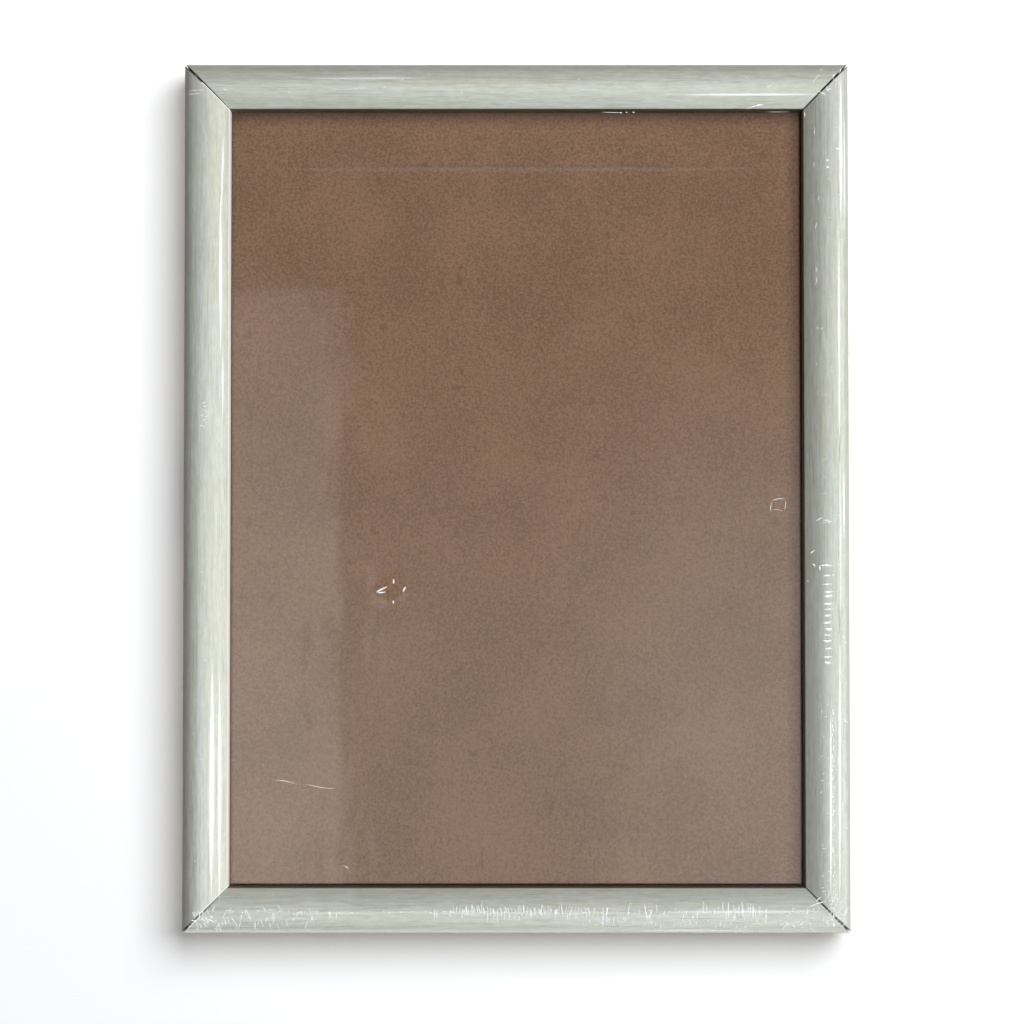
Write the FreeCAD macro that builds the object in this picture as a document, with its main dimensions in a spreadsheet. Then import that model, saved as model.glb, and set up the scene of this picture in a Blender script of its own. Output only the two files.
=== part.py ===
"""Clip frame for 180 x 240 mm sheets: four mitred, foil-wrapped rails, glass,
hardboard back, turn clips on screws and two sawtooth hangers.

Seen from the front, X is right and Z is up; the front faces -Y and the wall is
at +Y. Every piece is drawn about the middle of the opening, with Y = 0 on the
rails' back plane, and then placed so that the origin is the point where a wall
nail carries the frame: the middle notch of the top hanger.
"""
import FreeCAD, Part

import math
import os
import re

import Sketcher

SIZES = [
    # The two sheets the frame holds.
    ("sheet_width", 180.0, "glass and board, left to right"),
    ("sheet_height", 240.0, "glass and board, bottom to top"),
    ("glass_thickness", 2.0, "float glass"),
    ("board_thickness", 3.0, "hardboard"),
    ("sheet_clearance", 0.5, "between each sheet edge and the rebate wall"),
    ("board_recess", 0.3, "board's back below the rails' back plane"),
    # The moulding's section.
    ("face_width", 13.4, "sight edge to outer side"),
    ("lip_overlap", 5.0, "how far the lip covers the sheets"),
    ("moulding_depth", 13.5, "back plane to the crown"),
    ("crown_radius", 12.0, "broad front curve"),
    ("crown_inset", 5.4, "crown line behind the outer side"),
    ("shoulder_radius", 3.5, "tight curve into the outer side"),
    ("foil_thickness", 0.2, "printed wrap glued on the wood"),
    ("mitre_gap_outer", 0.35, "each rail short of the mitre at the outer corner"),
    ("mitre_gap_inner", 0.03, "each rail short of the mitre at the sight edge"),
    # Bent steel nails driven across each mitre from behind.
    ("v_nail_leg", 3.6, "apex to tip"),
    ("v_nail_thickness", 0.5, "steel strip"),
    ("v_nail_depth", 7.0, "driven depth"),
    ("v_nail_sunk", 0.3, "below the back plane"),
    ("v_nail_inset", 1.7, "outer nail's apex in from the outer side"),
    ("v_nail_spacing", 3.2, "outer apex to inner apex"),
    # Turn clips that hold the board.
    ("clip_length", 17.0, "flat clip, end to end"),
    ("clip_width", 7.0, "across the rounded strip"),
    ("clip_thickness", 0.8, "steel strip"),
    ("clip_pivot_inset", 3.6, "screw axis to the near end"),
    ("clip_edge_round", 0.15, "rolled upper edge"),
    ("clip_play", 0.05, "above and below the clip"),
    ("clip_hole_clearance", 0.06, "around the screw's shank"),
    ("clip_spread_across", 55.0, "middle of a short rail to its clips"),
    ("clip_spread_upright", 75.0, "middle of a long rail to its clips"),
    # Pan head screws that the clips turn on.
    ("screw_inset", 4.0, "screw axis in from the outer side"),
    ("screw_diameter", 2.6, "shank"),
    ("screw_length", 9.0, "back plane to the point"),
    ("screw_point", 2.2, "tapered end"),
    ("head_diameter", 5.6, "pan head"),
    ("head_height", 1.7, "seat to the top"),
    ("head_rim", 0.7, "straight rim below the dome"),
    ("recess_span", 3.2, "cross recess, tip to tip"),
    ("recess_width", 0.9, "one arm of the recess"),
    ("recess_depth", 0.9, "below the top of the head"),
    ("pilot_clearance", 0.02, "around screws and nails in the wood"),
    # Sawtooth hangers.
    ("hanger_length", 38.0, "end to end"),
    ("hanger_width", 6.5, "strip"),
    ("hanger_thickness", 0.6, "strip"),
    ("hanger_tab", 8.0, "flat end with its nail"),
    ("hanger_slope", 1.5, "run of the bend"),
    ("hanger_rise", 1.4, "raised middle off the rail"),
    ("hanger_inset", 0.8, "strip's edge in from the outer side"),
    ("notch_depth", 1.3, "notch, edge to apex"),
    ("notch_pitch", 2.2, "apex to apex"),
    ("notch_count", 7, "notches in a hanger"),
    # Nails through the hangers' tabs.
    ("nail_diameter", 1.4, "shank"),
    ("nail_length", 9.0, "back plane to the point"),
    ("nail_point", 1.6, "tapered end"),
    ("nail_head_diameter", 2.8, "flat head"),
    ("nail_head_thickness", 0.6, "flat head"),
    ("nail_hole_clearance", 0.05, "around the nail in the tab"),
    # How far a cutting outline runs past what it cuts.
    ("overrun", 1.0, "for every cut"),
]
VALUE = {name: value for name, value, note in SIZES}

# Half the opening, the rebate and the back land, in the words of the sheet.
HALF_SIGHT_X = "(sheet_width / 2 - lip_overlap)"
HALF_SIGHT_Z = "(sheet_height / 2 - lip_overlap)"
REBATE_DEPTH = "(glass_thickness + board_thickness + board_recess)"
REBATE_WALL = "(lip_overlap + sheet_clearance)"
CLIP_TOP = "(2 * clip_play + clip_thickness)"
SCREW_FROM_SIGHT = "(face_width - screw_inset)"
NOTCH_FROM_SIGHT = "(face_width - hanger_inset - hanger_width + notch_depth)"

# The shift that brings the top hanger's middle notch to the origin.
SHIFT_Y = "-(hanger_rise + hanger_thickness / 2)"
SHIFT_Z = f"-({HALF_SIGHT_Z} + {NOTCH_FROM_SIGHT})"

doc = FreeCAD.newDocument("clip_frame")
made = []


def fill_sheet():
    """Writes the driving sizes into the spreadsheet, one alias a row."""
    sheet = doc.addObject("Spreadsheet::Sheet", "Sizes")
    for row, (name, value, note) in enumerate(SIZES, start=1):
        sheet.set(f"A{row}", name)
        sheet.set(f"B{row}", str(value))
        sheet.setAlias(f"B{row}", name)
        sheet.set(f"C{row}", note)
    doc.recompute()


def formula(words):
    """A formula in sheet words, as FreeCAD reads it."""
    names = "|".join(sorted(VALUE, key=len, reverse=True))
    return re.sub(rf"\b({names})\b", r"Sizes.\1", words)


def origin_plane(body, role):
    return next(plane for plane in body.Origin.OriginFeatures if plane.Role == role)


def new_body(label, spot=("0", "0", "0"), turn=0.0):
    """A body placed in the finished frame: its own spot, turned about Y."""
    body = doc.addObject("PartDesign::Body", label)
    body.Label = label
    place(body, spot, turn)
    return body


def place(piece, spot, turn):
    """Puts a piece at a spot given from the opening's middle, turned about Y."""
    piece.Placement = FreeCAD.Placement(
        FreeCAD.Vector(0, 0, 0), FreeCAD.Rotation(FreeCAD.Vector(0, 1, 0), turn)
    )
    piece.setExpression("Placement.Base.x", formula(spot[0]))
    piece.setExpression("Placement.Base.y", formula(f"{spot[1]} + ({SHIFT_Y})"))
    piece.setExpression("Placement.Base.z", formula(f"{spot[2]} + ({SHIFT_Z})"))


def new_sketch(body, name, role, lift=None):
    """A sketch on one of the body's own origin planes, lifted along its normal."""
    sketch = body.newObject("Sketcher::SketchObject", name)
    sketch.AttachmentSupport = [(origin_plane(body, role), "")]
    sketch.MapMode = "FlatFace"
    if lift:
        sketch.setExpression("AttachmentOffset.Base.z", formula(lift))
    return sketch


def pin(sketch, geometry, point, across, up):
    """Fixes a sketch point by its two distances from the sketch's origin."""
    drawn = sketch.getPoint(geometry, point)
    for kind, guess, words in (
        ("DistanceX", drawn.x, across),
        ("DistanceY", drawn.y, up),
    ):
        row = sketch.addConstraint(
            Sketcher.Constraint(kind, -1, 1, geometry, point, guess)
        )
        sketch.setExpression(f"Constraints[{row}]", formula(words))


def radius(sketch, geometry, words):
    row = sketch.addConstraint(
        Sketcher.Constraint("Radius", geometry, sketch.Geometry[geometry].Radius)
    )
    sketch.setExpression(f"Constraints[{row}]", formula(words))


def polygon(sketch, corners):
    """A closed outline whose corners are pairs of formulas."""
    count = len(corners)
    reach = VALUE["sheet_width"]
    spots = [
        FreeCAD.Vector(
            reach * math.cos(2 * math.pi * i / count),
            reach * math.sin(2 * math.pi * i / count),
            0,
        )
        for i in range(count)
    ]
    first = sketch.GeometryCount
    for i in range(count):
        sketch.addGeometry(Part.LineSegment(spots[i], spots[(i + 1) % count]), False)
    for i in range(count):
        follower = first + (i + 1) % count
        sketch.addConstraint(
            Sketcher.Constraint("Coincident", first + i, 2, follower, 1)
        )
    for i, (across, up) in enumerate(corners):
        pin(sketch, first + i, 1, across, up)


def circle(sketch, across, up, half_width):
    row = sketch.addGeometry(
        Part.Circle(
            FreeCAD.Vector(0, 0, 0), FreeCAD.Vector(0, 0, 1), VALUE["overrun"]
        ),
        False,
    )
    pin(sketch, row, 3, across, up)
    radius(sketch, row, half_width)


def pad(body, name, sketch, length, symmetric=False, toward_back=False):
    feature = body.newObject("PartDesign::Pad", name)
    feature.Profile = sketch
    feature.SideType = "Symmetric" if symmetric else "One side"
    feature.Reversed = toward_back
    feature.setExpression("Length", formula(length))
    doc.recompute()
    return feature


def pocket(body, name, sketch, depth=None, toward_front=True):
    """Cuts a sketch out of the body and makes sure that wood or steel went."""
    before = body.Shape.Volume
    feature = body.newObject("PartDesign::Pocket", name)
    feature.Profile = sketch
    if depth is None:
        feature.Type = "ThroughAll"
        feature.SideType = "Symmetric"
    else:
        feature.Reversed = toward_front
        feature.setExpression("Length", formula(depth))
    doc.recompute()
    if not body.Shape.Volume < before:
        raise RuntimeError(f"{body.Label}: {name} cuts nothing")
    return feature


def mirror(body, name, features):
    """Repeats features on the other side of the body's YZ plane."""
    before = body.Shape.Volume
    feature = body.newObject("PartDesign::Mirrored", name)
    feature.Originals = features
    feature.MirrorPlane = (origin_plane(body, "YZ_Plane"), [""])
    body.Tip = feature
    doc.recompute()
    if not body.Shape.Volume < before:
        raise RuntimeError(f"{body.Label}: {name} cuts nothing")
    return feature


def section_start(across, foil):
    """Points of the moulding's front curve, as a first guess for the sketch.

    Returns the two arc centres and the three curve ends in the section's plane,
    where the first number is Y and the second is Z from the opening's middle.
    """
    outer = across + VALUE["face_width"] - foil
    crown = VALUE["crown_radius"] - foil
    shoulder = VALUE["shoulder_radius"] - foil
    crown_z = across + VALUE["face_width"] - VALUE["crown_inset"]
    crown_y = VALUE["crown_radius"] - VALUE["moulding_depth"]
    shoulder_z = outer - shoulder
    apart = crown - shoulder
    rise = math.sqrt(apart**2 - (shoulder_z - crown_z) ** 2)
    shoulder_y = crown_y - rise
    reach = crown / apart
    meet_y = crown_y + (shoulder_y - crown_y) * reach
    meet_z = crown_z + (shoulder_z - crown_z) * reach
    sight = across + foil
    sight_y = crown_y - math.sqrt(crown**2 - (crown_z - sight) ** 2)
    return {
        "crown": FreeCAD.Vector(crown_y, crown_z, 0),
        "shoulder": FreeCAD.Vector(shoulder_y, shoulder_z, 0),
        "outer": FreeCAD.Vector(shoulder_y, outer, 0),
        "meet": FreeCAD.Vector(meet_y, meet_z, 0),
        "sight": FreeCAD.Vector(sight_y, sight, 0),
    }


def front_curve(sketch, across, foil, start):
    """Draws the shoulder and crown arcs and gives the rows they take."""
    shoulder = start["shoulder"]
    crown = start["crown"]

    def arc(centre, first, last):
        turn_first = math.atan2(first.y - centre.y, first.x - centre.x)
        turn_last = math.atan2(last.y - centre.y, last.x - centre.x)
        full = Part.Circle(centre, FreeCAD.Vector(0, 0, 1), (first - centre).Length)
        if turn_last < turn_first:
            turn_last += 2 * math.pi
        return Part.ArcOfCircle(full, turn_first, turn_last)

    rows = (
        sketch.addGeometry(arc(shoulder, start["outer"], start["meet"]), False),
        sketch.addGeometry(arc(crown, start["meet"], start["sight"]), False),
    )
    wrap = f" - {foil}" if foil else ""
    radius(sketch, rows[0], f"shoulder_radius{wrap}")
    radius(sketch, rows[1], f"crown_radius{wrap}")
    pin(
        sketch,
        rows[1],
        3,
        "crown_radius - moulding_depth",
        f"{across} + face_width - crown_inset",
    )
    sketch.addConstraint(Sketcher.Constraint("Tangent", rows[0], 2, rows[1], 1))
    return rows


def line(sketch, first, last):
    return sketch.addGeometry(Part.LineSegment(first, last), False)


def join(sketch, first, first_end, second, second_end, kind="Coincident"):
    sketch.addConstraint(
        Sketcher.Constraint(kind, first, first_end, second, second_end)
    )


def wood_section(body, across, half_across):
    """The wood's section: back land, side, front curve, lip and rebate."""
    sketch = new_sketch(body, "Section", "YZ_Plane")
    foil = VALUE["foil_thickness"]
    start = section_start(half_across, foil)
    wall = half_across + VALUE["lip_overlap"] + VALUE["sheet_clearance"]
    floor = -(
        VALUE["glass_thickness"] + VALUE["board_thickness"] + VALUE["board_recess"]
    )
    land_inner = FreeCAD.Vector(0, wall, 0)
    land_outer = FreeCAD.Vector(0, start["outer"].y, 0)
    lip_inner = FreeCAD.Vector(floor, start["sight"].y, 0)
    lip_wall = FreeCAD.Vector(floor, wall, 0)
    land = line(sketch, land_inner, land_outer)
    side = line(sketch, land_outer, start["outer"])
    shoulder, crown = front_curve(sketch, across, "foil_thickness", start)
    lip = line(sketch, start["sight"], lip_inner)
    seat = line(sketch, lip_inner, lip_wall)
    rebate = line(sketch, lip_wall, land_inner)
    join(sketch, land, 2, side, 1)
    join(sketch, side, 2, shoulder, 1, "Tangent")
    join(sketch, crown, 2, lip, 1)
    join(sketch, lip, 2, seat, 1)
    join(sketch, seat, 2, rebate, 1)
    join(sketch, rebate, 2, land, 1)
    for row in (side, lip, rebate):
        sketch.addConstraint(Sketcher.Constraint("Horizontal", row))
    pin(sketch, land, 1, "0", f"{across} + {REBATE_WALL}")
    pin(sketch, land, 2, "0", f"{across} + face_width - foil_thickness")
    pin(sketch, seat, 1, f"-{REBATE_DEPTH}", f"{across} + foil_thickness")
    sketch.addConstraint(Sketcher.Constraint("Vertical", seat))
    return sketch


def foil_section(body, across, half_across):
    """The wrap's section: a band over the side, the front curve and the lip."""
    sketch = new_sketch(body, "Section", "YZ_Plane")
    foil = VALUE["foil_thickness"]
    skin = section_start(half_across, 0)
    glue = section_start(half_across, foil)
    floor = -(
        VALUE["glass_thickness"] + VALUE["board_thickness"] + VALUE["board_recess"]
    )
    back_skin = FreeCAD.Vector(0, skin["outer"].y, 0)
    back_glue = FreeCAD.Vector(0, glue["outer"].y, 0)
    lip_skin = FreeCAD.Vector(floor, skin["sight"].y, 0)
    lip_glue = FreeCAD.Vector(floor, glue["sight"].y, 0)
    back = line(sketch, back_glue, back_skin)
    side = line(sketch, back_skin, skin["outer"])
    shoulder, crown = front_curve(sketch, across, "", skin)
    lip = line(sketch, skin["sight"], lip_skin)
    seat = line(sketch, lip_skin, lip_glue)
    lip_back = line(sketch, lip_glue, glue["sight"])
    inner_shoulder, inner_crown = front_curve(sketch, across, "foil_thickness", glue)
    side_back = line(sketch, glue["outer"], back_glue)
    join(sketch, back, 2, side, 1)
    join(sketch, side, 2, shoulder, 1, "Tangent")
    join(sketch, crown, 2, lip, 1)
    join(sketch, lip, 2, seat, 1)
    join(sketch, seat, 2, lip_back, 1)
    join(sketch, lip_back, 2, inner_crown, 2)
    join(sketch, inner_shoulder, 1, side_back, 1, "Tangent")
    join(sketch, side_back, 2, back, 1)
    for row in (side, lip, lip_back, side_back):
        sketch.addConstraint(Sketcher.Constraint("Horizontal", row))
    pin(sketch, back, 1, "0", f"{across} + face_width - foil_thickness")
    pin(sketch, back, 2, "0", f"{across} + face_width")
    pin(sketch, seat, 1, f"-{REBATE_DEPTH}", across)
    pin(sketch, seat, 2, f"-{REBATE_DEPTH}", f"{across} + foil_thickness")
    return sketch


def mitre(body, along, across):
    """Cuts the right-hand mitre, a little open towards the outer corner."""
    sketch = new_sketch(body, "MitreOutline", "XZ_Plane")
    polygon(
        sketch,
        [
            (f"{along} - mitre_gap_inner", across),
            (f"{along} + face_width - mitre_gap_outer", f"{across} + face_width"),
            (f"{along} + face_width + overrun", f"{across} + face_width"),
            (f"{along} + face_width + overrun", across),
        ],
    )
    return pocket(body, "Mitre", sketch)


def v_corners(along, across, depth_in):
    """Six corners of a bent nail whose apex lies on the mitre line."""
    half = "v_nail_thickness / 2"
    apex_x = f"{along} + face_width - {depth_in}"
    apex_z = f"{across} + face_width - {depth_in}"
    return [
        (f"{apex_x} + {half}", f"{apex_z} + {half}"),
        (f"{apex_x} - v_nail_leg", f"{apex_z} + {half}"),
        (f"{apex_x} - v_nail_leg", f"{apex_z} - {half}"),
        (f"{apex_x} - {half}", f"{apex_z} - {half}"),
        (f"{apex_x} - {half}", f"{apex_z} - v_nail_leg"),
        (f"{apex_x} + {half}", f"{apex_z} - v_nail_leg"),
    ]


V_NAIL_DEPTHS_IN = ["v_nail_inset", "(v_nail_inset + v_nail_spacing)"]


def rail(name, along, across, turn, spread, hanger):
    """One rail: its wood with mitres, nail slots and pilot holes, and its foil."""
    half_across = VALUE["sheet_height" if "height" in across else "sheet_width"] / 2
    half_across -= VALUE["lip_overlap"]
    length = f"2 * ({along} + face_width)"
    wood = new_body(f"{name}_rail", turn=turn)
    pad(wood, "Moulding", wood_section(wood, across, half_across), length, True)
    cuts = [mitre(wood, along, across)]
    slots = new_sketch(wood, "NailSlots", "XZ_Plane")
    for depth_in in V_NAIL_DEPTHS_IN:
        polygon(slots, v_corners(along, across, depth_in))
    cuts.append(pocket(wood, "NailSlotCut", slots, "v_nail_sunk + v_nail_depth"))
    mirror(wood, "FarEnd", cuts)
    pilots = new_sketch(wood, "PilotHoles", "XZ_Plane")
    for side in ("", "-"):
        circle(
            pilots,
            f"{side}{spread}",
            f"{across} + {SCREW_FROM_SIGHT}",
            "screw_diameter / 2 + pilot_clearance",
        )
    pocket(wood, "PilotCut", pilots, "screw_length")
    if hanger:
        holes = new_sketch(wood, "HangerNailHoles", "XZ_Plane")
        for side in ("", "-"):
            circle(
                holes,
                f"{side}(hanger_length - hanger_tab) / 2",
                f"{across} + face_width - hanger_inset - hanger_width / 2",
                "nail_diameter / 2 + pilot_clearance",
            )
        pocket(wood, "HangerNailCut", holes, "nail_length")
    made.append(wood)

    foil = new_body(f"{name}_rail_foil", turn=turn)
    pad(foil, "Wrap", foil_section(foil, across, half_across), length, True)
    mirror(foil, "FarEnd", [mitre(foil, along, across)])
    made.append(foil)


def sheet_of(label, thickness, front):
    """A flat sheet that lies in the rebate with its front face at a depth."""
    body = new_body(label)
    sketch = new_sketch(body, "Outline", "XZ_Plane", front)
    half_x = "sheet_width / 2"
    half_z = "sheet_height / 2"
    polygon(
        sketch,
        [
            (f"-{half_x}", f"-{half_z}"),
            (half_x, f"-{half_z}"),
            (half_x, half_z),
            (f"-{half_x}", half_z),
        ],
    )
    pad(body, "Thickness", sketch, thickness, toward_back=True)
    made.append(body)


def rim_edges(shape, level):
    """Names of the edges that lie wholly in the plane Y = level."""
    near = VALUE["clip_play"] / 10
    return [
        f"Edge{row}"
        for row, edge in enumerate(shape.Edges, start=1)
        if abs(edge.BoundBox.YMin - level) < near
        and abs(edge.BoundBox.YMax - level) < near
    ]


def turn_clip(label, spot, turn):
    """A flat round-ended clip that points at the opening from its screw."""
    body = new_body(label, (spot[0], "clip_play", spot[1]), turn)
    sketch = new_sketch(body, "Outline", "XZ_Plane")
    half = VALUE["clip_width"] / 2
    near = VALUE["clip_pivot_inset"] - half
    far = near - VALUE["clip_length"] + VALUE["clip_width"]
    upward = FreeCAD.Vector(0, 0, 1)
    head = sketch.addGeometry(
        Part.ArcOfCircle(
            Part.Circle(FreeCAD.Vector(0, near, 0), upward, half), 0, math.pi
        ),
        False,
    )
    left = line(
        sketch, FreeCAD.Vector(-half, near, 0), FreeCAD.Vector(-half, far, 0)
    )
    toe = sketch.addGeometry(
        Part.ArcOfCircle(
            Part.Circle(FreeCAD.Vector(0, far, 0), upward, half),
            math.pi,
            2 * math.pi,
        ),
        False,
    )
    right = line(
        sketch, FreeCAD.Vector(half, far, 0), FreeCAD.Vector(half, near, 0)
    )
    join(sketch, head, 2, left, 1, "Tangent")
    join(sketch, left, 2, toe, 1, "Tangent")
    join(sketch, toe, 2, right, 1, "Tangent")
    join(sketch, right, 2, head, 1, "Tangent")
    radius(sketch, head, "clip_width / 2")
    pin(sketch, head, 3, "0", "clip_pivot_inset - clip_width / 2")
    pin(sketch, toe, 3, "0", "clip_pivot_inset - clip_length + clip_width / 2")
    circle(sketch, "0", "0", "screw_diameter / 2 + clip_hole_clearance")
    strip = pad(body, "Strip", sketch, "clip_thickness", toward_back=True)
    rounding = body.newObject("PartDesign::Fillet", "RolledEdge")
    rounding.Base = (strip, rim_edges(strip.Shape, VALUE["clip_thickness"]))
    rounding.setExpression("Radius", formula("clip_edge_round"))
    doc.recompute()
    made.append(body)


def turned_pin(label, corners, arcs):
    """A pin turned about Y from a half outline; arcs name domed edges."""
    body = doc.addObject("PartDesign::Body", label)
    sketch = new_sketch(body, "HalfOutline", "XY_Plane")
    polygon(sketch, corners)
    turned = body.newObject("PartDesign::Revolution", "Turned")
    turned.Profile = sketch
    turned.ReferenceAxis = (sketch, ["V_Axis"])
    turned.Angle = 360
    doc.recompute()
    if arcs:
        rounding = body.newObject("PartDesign::Fillet", "Dome")
        rounding.Base = (turned, rim_edges(turned.Shape, arcs[0]))
        rounding.setExpression("Radius", formula(arcs[1]))
        doc.recompute()
    return body


def copies(label, master, spots):
    """One sub-part of separate, identical pieces at the given spots."""
    links = []
    for row, (across, up, turn) in enumerate(spots, start=1):
        link = doc.addObject("App::Link", f"{label}_{row}")
        link.LinkedObject = master
        link.Placement = FreeCAD.Placement(
            FreeCAD.Vector(0, 0, 0), FreeCAD.Rotation(FreeCAD.Vector(0, 1, 0), turn)
        )
        link.setExpression("Placement.Base.x", formula(across))
        link.setExpression("Placement.Base.z", formula(up))
        links.append(link)
    group = doc.addObject("Part::Compound", label)
    group.Label = label
    group.Links = links
    place(group, ("0", "0", "0"), 0)
    doc.recompute()
    made.append(group)
    return group


def screws(spots):
    """Pan head screws: shank in the wood, dome above the clip, cross recess."""
    screw = turned_pin(
        "ClipScrew",
        [
            ("0", "-screw_length"),
            ("screw_diameter / 2", "screw_point - screw_length"),
            ("screw_diameter / 2", CLIP_TOP),
            ("head_diameter / 2", CLIP_TOP),
            ("head_diameter / 2", f"{CLIP_TOP} + head_height"),
            ("0", f"{CLIP_TOP} + head_height"),
        ],
        (
            2 * VALUE["clip_play"] + VALUE["clip_thickness"] + VALUE["head_height"],
            "head_height - head_rim",
        ),
    )
    sketch = new_sketch(
        screw, "CrossRecess", "XZ_Plane", f"-({CLIP_TOP} + head_height)"
    )
    arm = "recess_span / 2"
    half = "recess_width / 2"
    quarter = [(half, arm), (half, half), (arm, half)]
    polygon(
        sketch,
        [
            (f"{side_x}{x}", f"{side_z}{z}")
            for side_x, side_z, points in (
                ("", "", quarter),
                ("", "-", quarter[::-1]),
                ("-", "-", quarter),
                ("-", "", quarter[::-1]),
            )
            for x, z in points
        ],
    )
    pocket(screw, "RecessCut", sketch, "recess_depth")
    copies("clip_screws", screw, spots)


def v_nails():
    """Two bent nails a corner, in the slots that the rails carry."""
    for_corner = []
    for depth_in in V_NAIL_DEPTHS_IN:
        body = doc.addObject("PartDesign::Body", f"VNail{len(for_corner) + 1}")
        sketch = new_sketch(body, "Strip", "XZ_Plane", "v_nail_sunk")
        polygon(sketch, v_corners("0", "0", depth_in))
        pad(body, "Driven", sketch, "v_nail_depth")
        for_corner.append(body)
    pair = doc.addObject("Part::Compound", "VNailPair")
    pair.Links = for_corner
    doc.recompute()
    copies(
        "corner_v_nails",
        pair,
        [
            (HALF_SIGHT_X, HALF_SIGHT_Z, 0),
            (HALF_SIGHT_X, f"-{HALF_SIGHT_Z}", 90),
            (f"-{HALF_SIGHT_X}", f"-{HALF_SIGHT_Z}", 180),
            (f"-{HALF_SIGHT_X}", HALF_SIGHT_Z, 270),
        ],
    )


def hanger(label, along, turn):
    """A strip with a raised, notched middle; its own zero is the middle notch."""
    spot = {
        0: ("0", "0", f"{along} + {NOTCH_FROM_SIGHT}"),
        270: (f"-({along} + {NOTCH_FROM_SIGHT})", "0", "0"),
    }[turn]
    body = new_body(label, spot, turn)
    sketch = new_sketch(body, "BentStrip", "XY_Plane", "-notch_depth")
    bend = "(hanger_length / 2 - hanger_tab)"
    flat = f"({bend} - hanger_slope)"
    tuck = "hanger_thickness * tan(atan(hanger_rise / hanger_slope) / 2)"
    lower = [("hanger_length / 2", "0"), (bend, "0"), (flat, "hanger_rise")]
    upper = [
        (f"({flat} + {tuck})", "hanger_rise + hanger_thickness"),
        (f"({bend} + {tuck})", "hanger_thickness"),
        ("hanger_length / 2", "hanger_thickness"),
    ]
    right = lower[::-1] + upper[::-1]
    polygon(
        sketch,
        lower
        + [(f"-{x}", y) for x, y in lower[::-1]]
        + [(f"-{x}", y) for x, y in upper[::-1]]
        + upper,
    )
    pad(body, "Strip", sketch, "hanger_width")
    first = "-(notch_count - 1) / 2 * notch_pitch"
    teeth = new_sketch(body, "FirstNotch", "XZ_Plane")
    polygon(
        teeth,
        [
            (first, "0"),
            (f"{first} - notch_pitch / 2", "-notch_depth"),
            (f"{first} + notch_pitch / 2", "-notch_depth"),
        ],
    )
    notch = pocket(body, "Notch", teeth)
    row = body.newObject("PartDesign::LinearPattern", "Notches")
    row.Originals = [notch]
    row.Direction = (teeth, ["H_Axis"])
    row.setExpression("Length", formula("(notch_count - 1) * notch_pitch"))
    row.setExpression("Occurrences", formula("notch_count"))
    body.Tip = row
    doc.recompute()
    holes = new_sketch(body, "NailHoles", "XZ_Plane")
    for side in ("", "-"):
        circle(
            holes,
            f"{side}(hanger_length - hanger_tab) / 2",
            "hanger_width / 2 - notch_depth",
            "nail_diameter / 2 + nail_hole_clearance",
        )
    pocket(body, "NailHoleCut", holes)
    made.append(body)


def hanger_nails(spots):
    """Flat-headed nails through the tabs into the rails."""
    nail = turned_pin(
        "HangerNail",
        [
            ("0", "-nail_length"),
            ("nail_diameter / 2", "nail_point - nail_length"),
            ("nail_diameter / 2", "hanger_thickness"),
            ("nail_head_diameter / 2", "hanger_thickness"),
            ("nail_head_diameter / 2", "hanger_thickness + nail_head_thickness"),
            ("0", "hanger_thickness + nail_head_thickness"),
        ],
        None,
    )
    copies("hanger_nails", nail, spots)


def check():
    """Stops if any object failed or any sub-part is not one or more solids."""
    doc.recompute()
    for thing in doc.Objects:
        if {"Invalid", "Error"} & set(thing.State):
            raise RuntimeError(f"{thing.Label}: {thing.State}")
    for piece in made:
        shape = piece.Shape
        if shape.isNull() or not shape.isValid() or not shape.Solids:
            raise RuntimeError(f"{piece.Label} has no valid solid")


def build():
    fill_sheet()
    across = "clip_spread_across"
    upright = "clip_spread_upright"
    rail("top", HALF_SIGHT_X, HALF_SIGHT_Z, 0, across, hanger=True)
    rail("right", HALF_SIGHT_Z, HALF_SIGHT_X, 90, upright, hanger=False)
    rail("bottom", HALF_SIGHT_X, HALF_SIGHT_Z, 180, across, hanger=False)
    rail("left", HALF_SIGHT_Z, HALF_SIGHT_X, 270, upright, hanger=True)
    v_nails()
    sheet_of("glass_pane", "glass_thickness", REBATE_DEPTH)
    sheet_of("backing_board", "board_thickness", "board_thickness + board_recess")

    high = f"({HALF_SIGHT_Z} + {SCREW_FROM_SIGHT})"
    wide = f"({HALF_SIGHT_X} + {SCREW_FROM_SIGHT})"
    clip_spots = {
        "turn_clip_top_left": (f"-{across}", high, 0),
        "turn_clip_top_right": (across, high, 0),
        "turn_clip_right_upper": (wide, upright, 90),
        "turn_clip_right_lower": (wide, f"-{upright}", 90),
        "turn_clip_bottom_right": (across, f"-{high}", 180),
        "turn_clip_bottom_left": (f"-{across}", f"-{high}", 180),
        "turn_clip_left_lower": (f"-{wide}", f"-{upright}", 270),
        "turn_clip_left_upper": (f"-{wide}", upright, 270),
    }
    for label, (x, z, turn) in clip_spots.items():
        turn_clip(label, (x, z), turn)
    screws(list(clip_spots.values()))

    hanger("top_hanger", HALF_SIGHT_Z, 0)
    hanger("side_hanger", HALF_SIGHT_X, 270)
    tab = "(hanger_length - hanger_tab) / 2"
    from_sight = "(face_width - hanger_inset - hanger_width / 2)"
    tab_z = f"({HALF_SIGHT_Z} + {from_sight})"
    tab_x = f"({HALF_SIGHT_X} + {from_sight})"
    hanger_nails(
        [
            (f"-{tab}", tab_z, 0),
            (tab, tab_z, 0),
            (f"-{tab_x}", f"-{tab}", 0),
            (f"-{tab_x}", tab, 0),
        ]
    )


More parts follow.
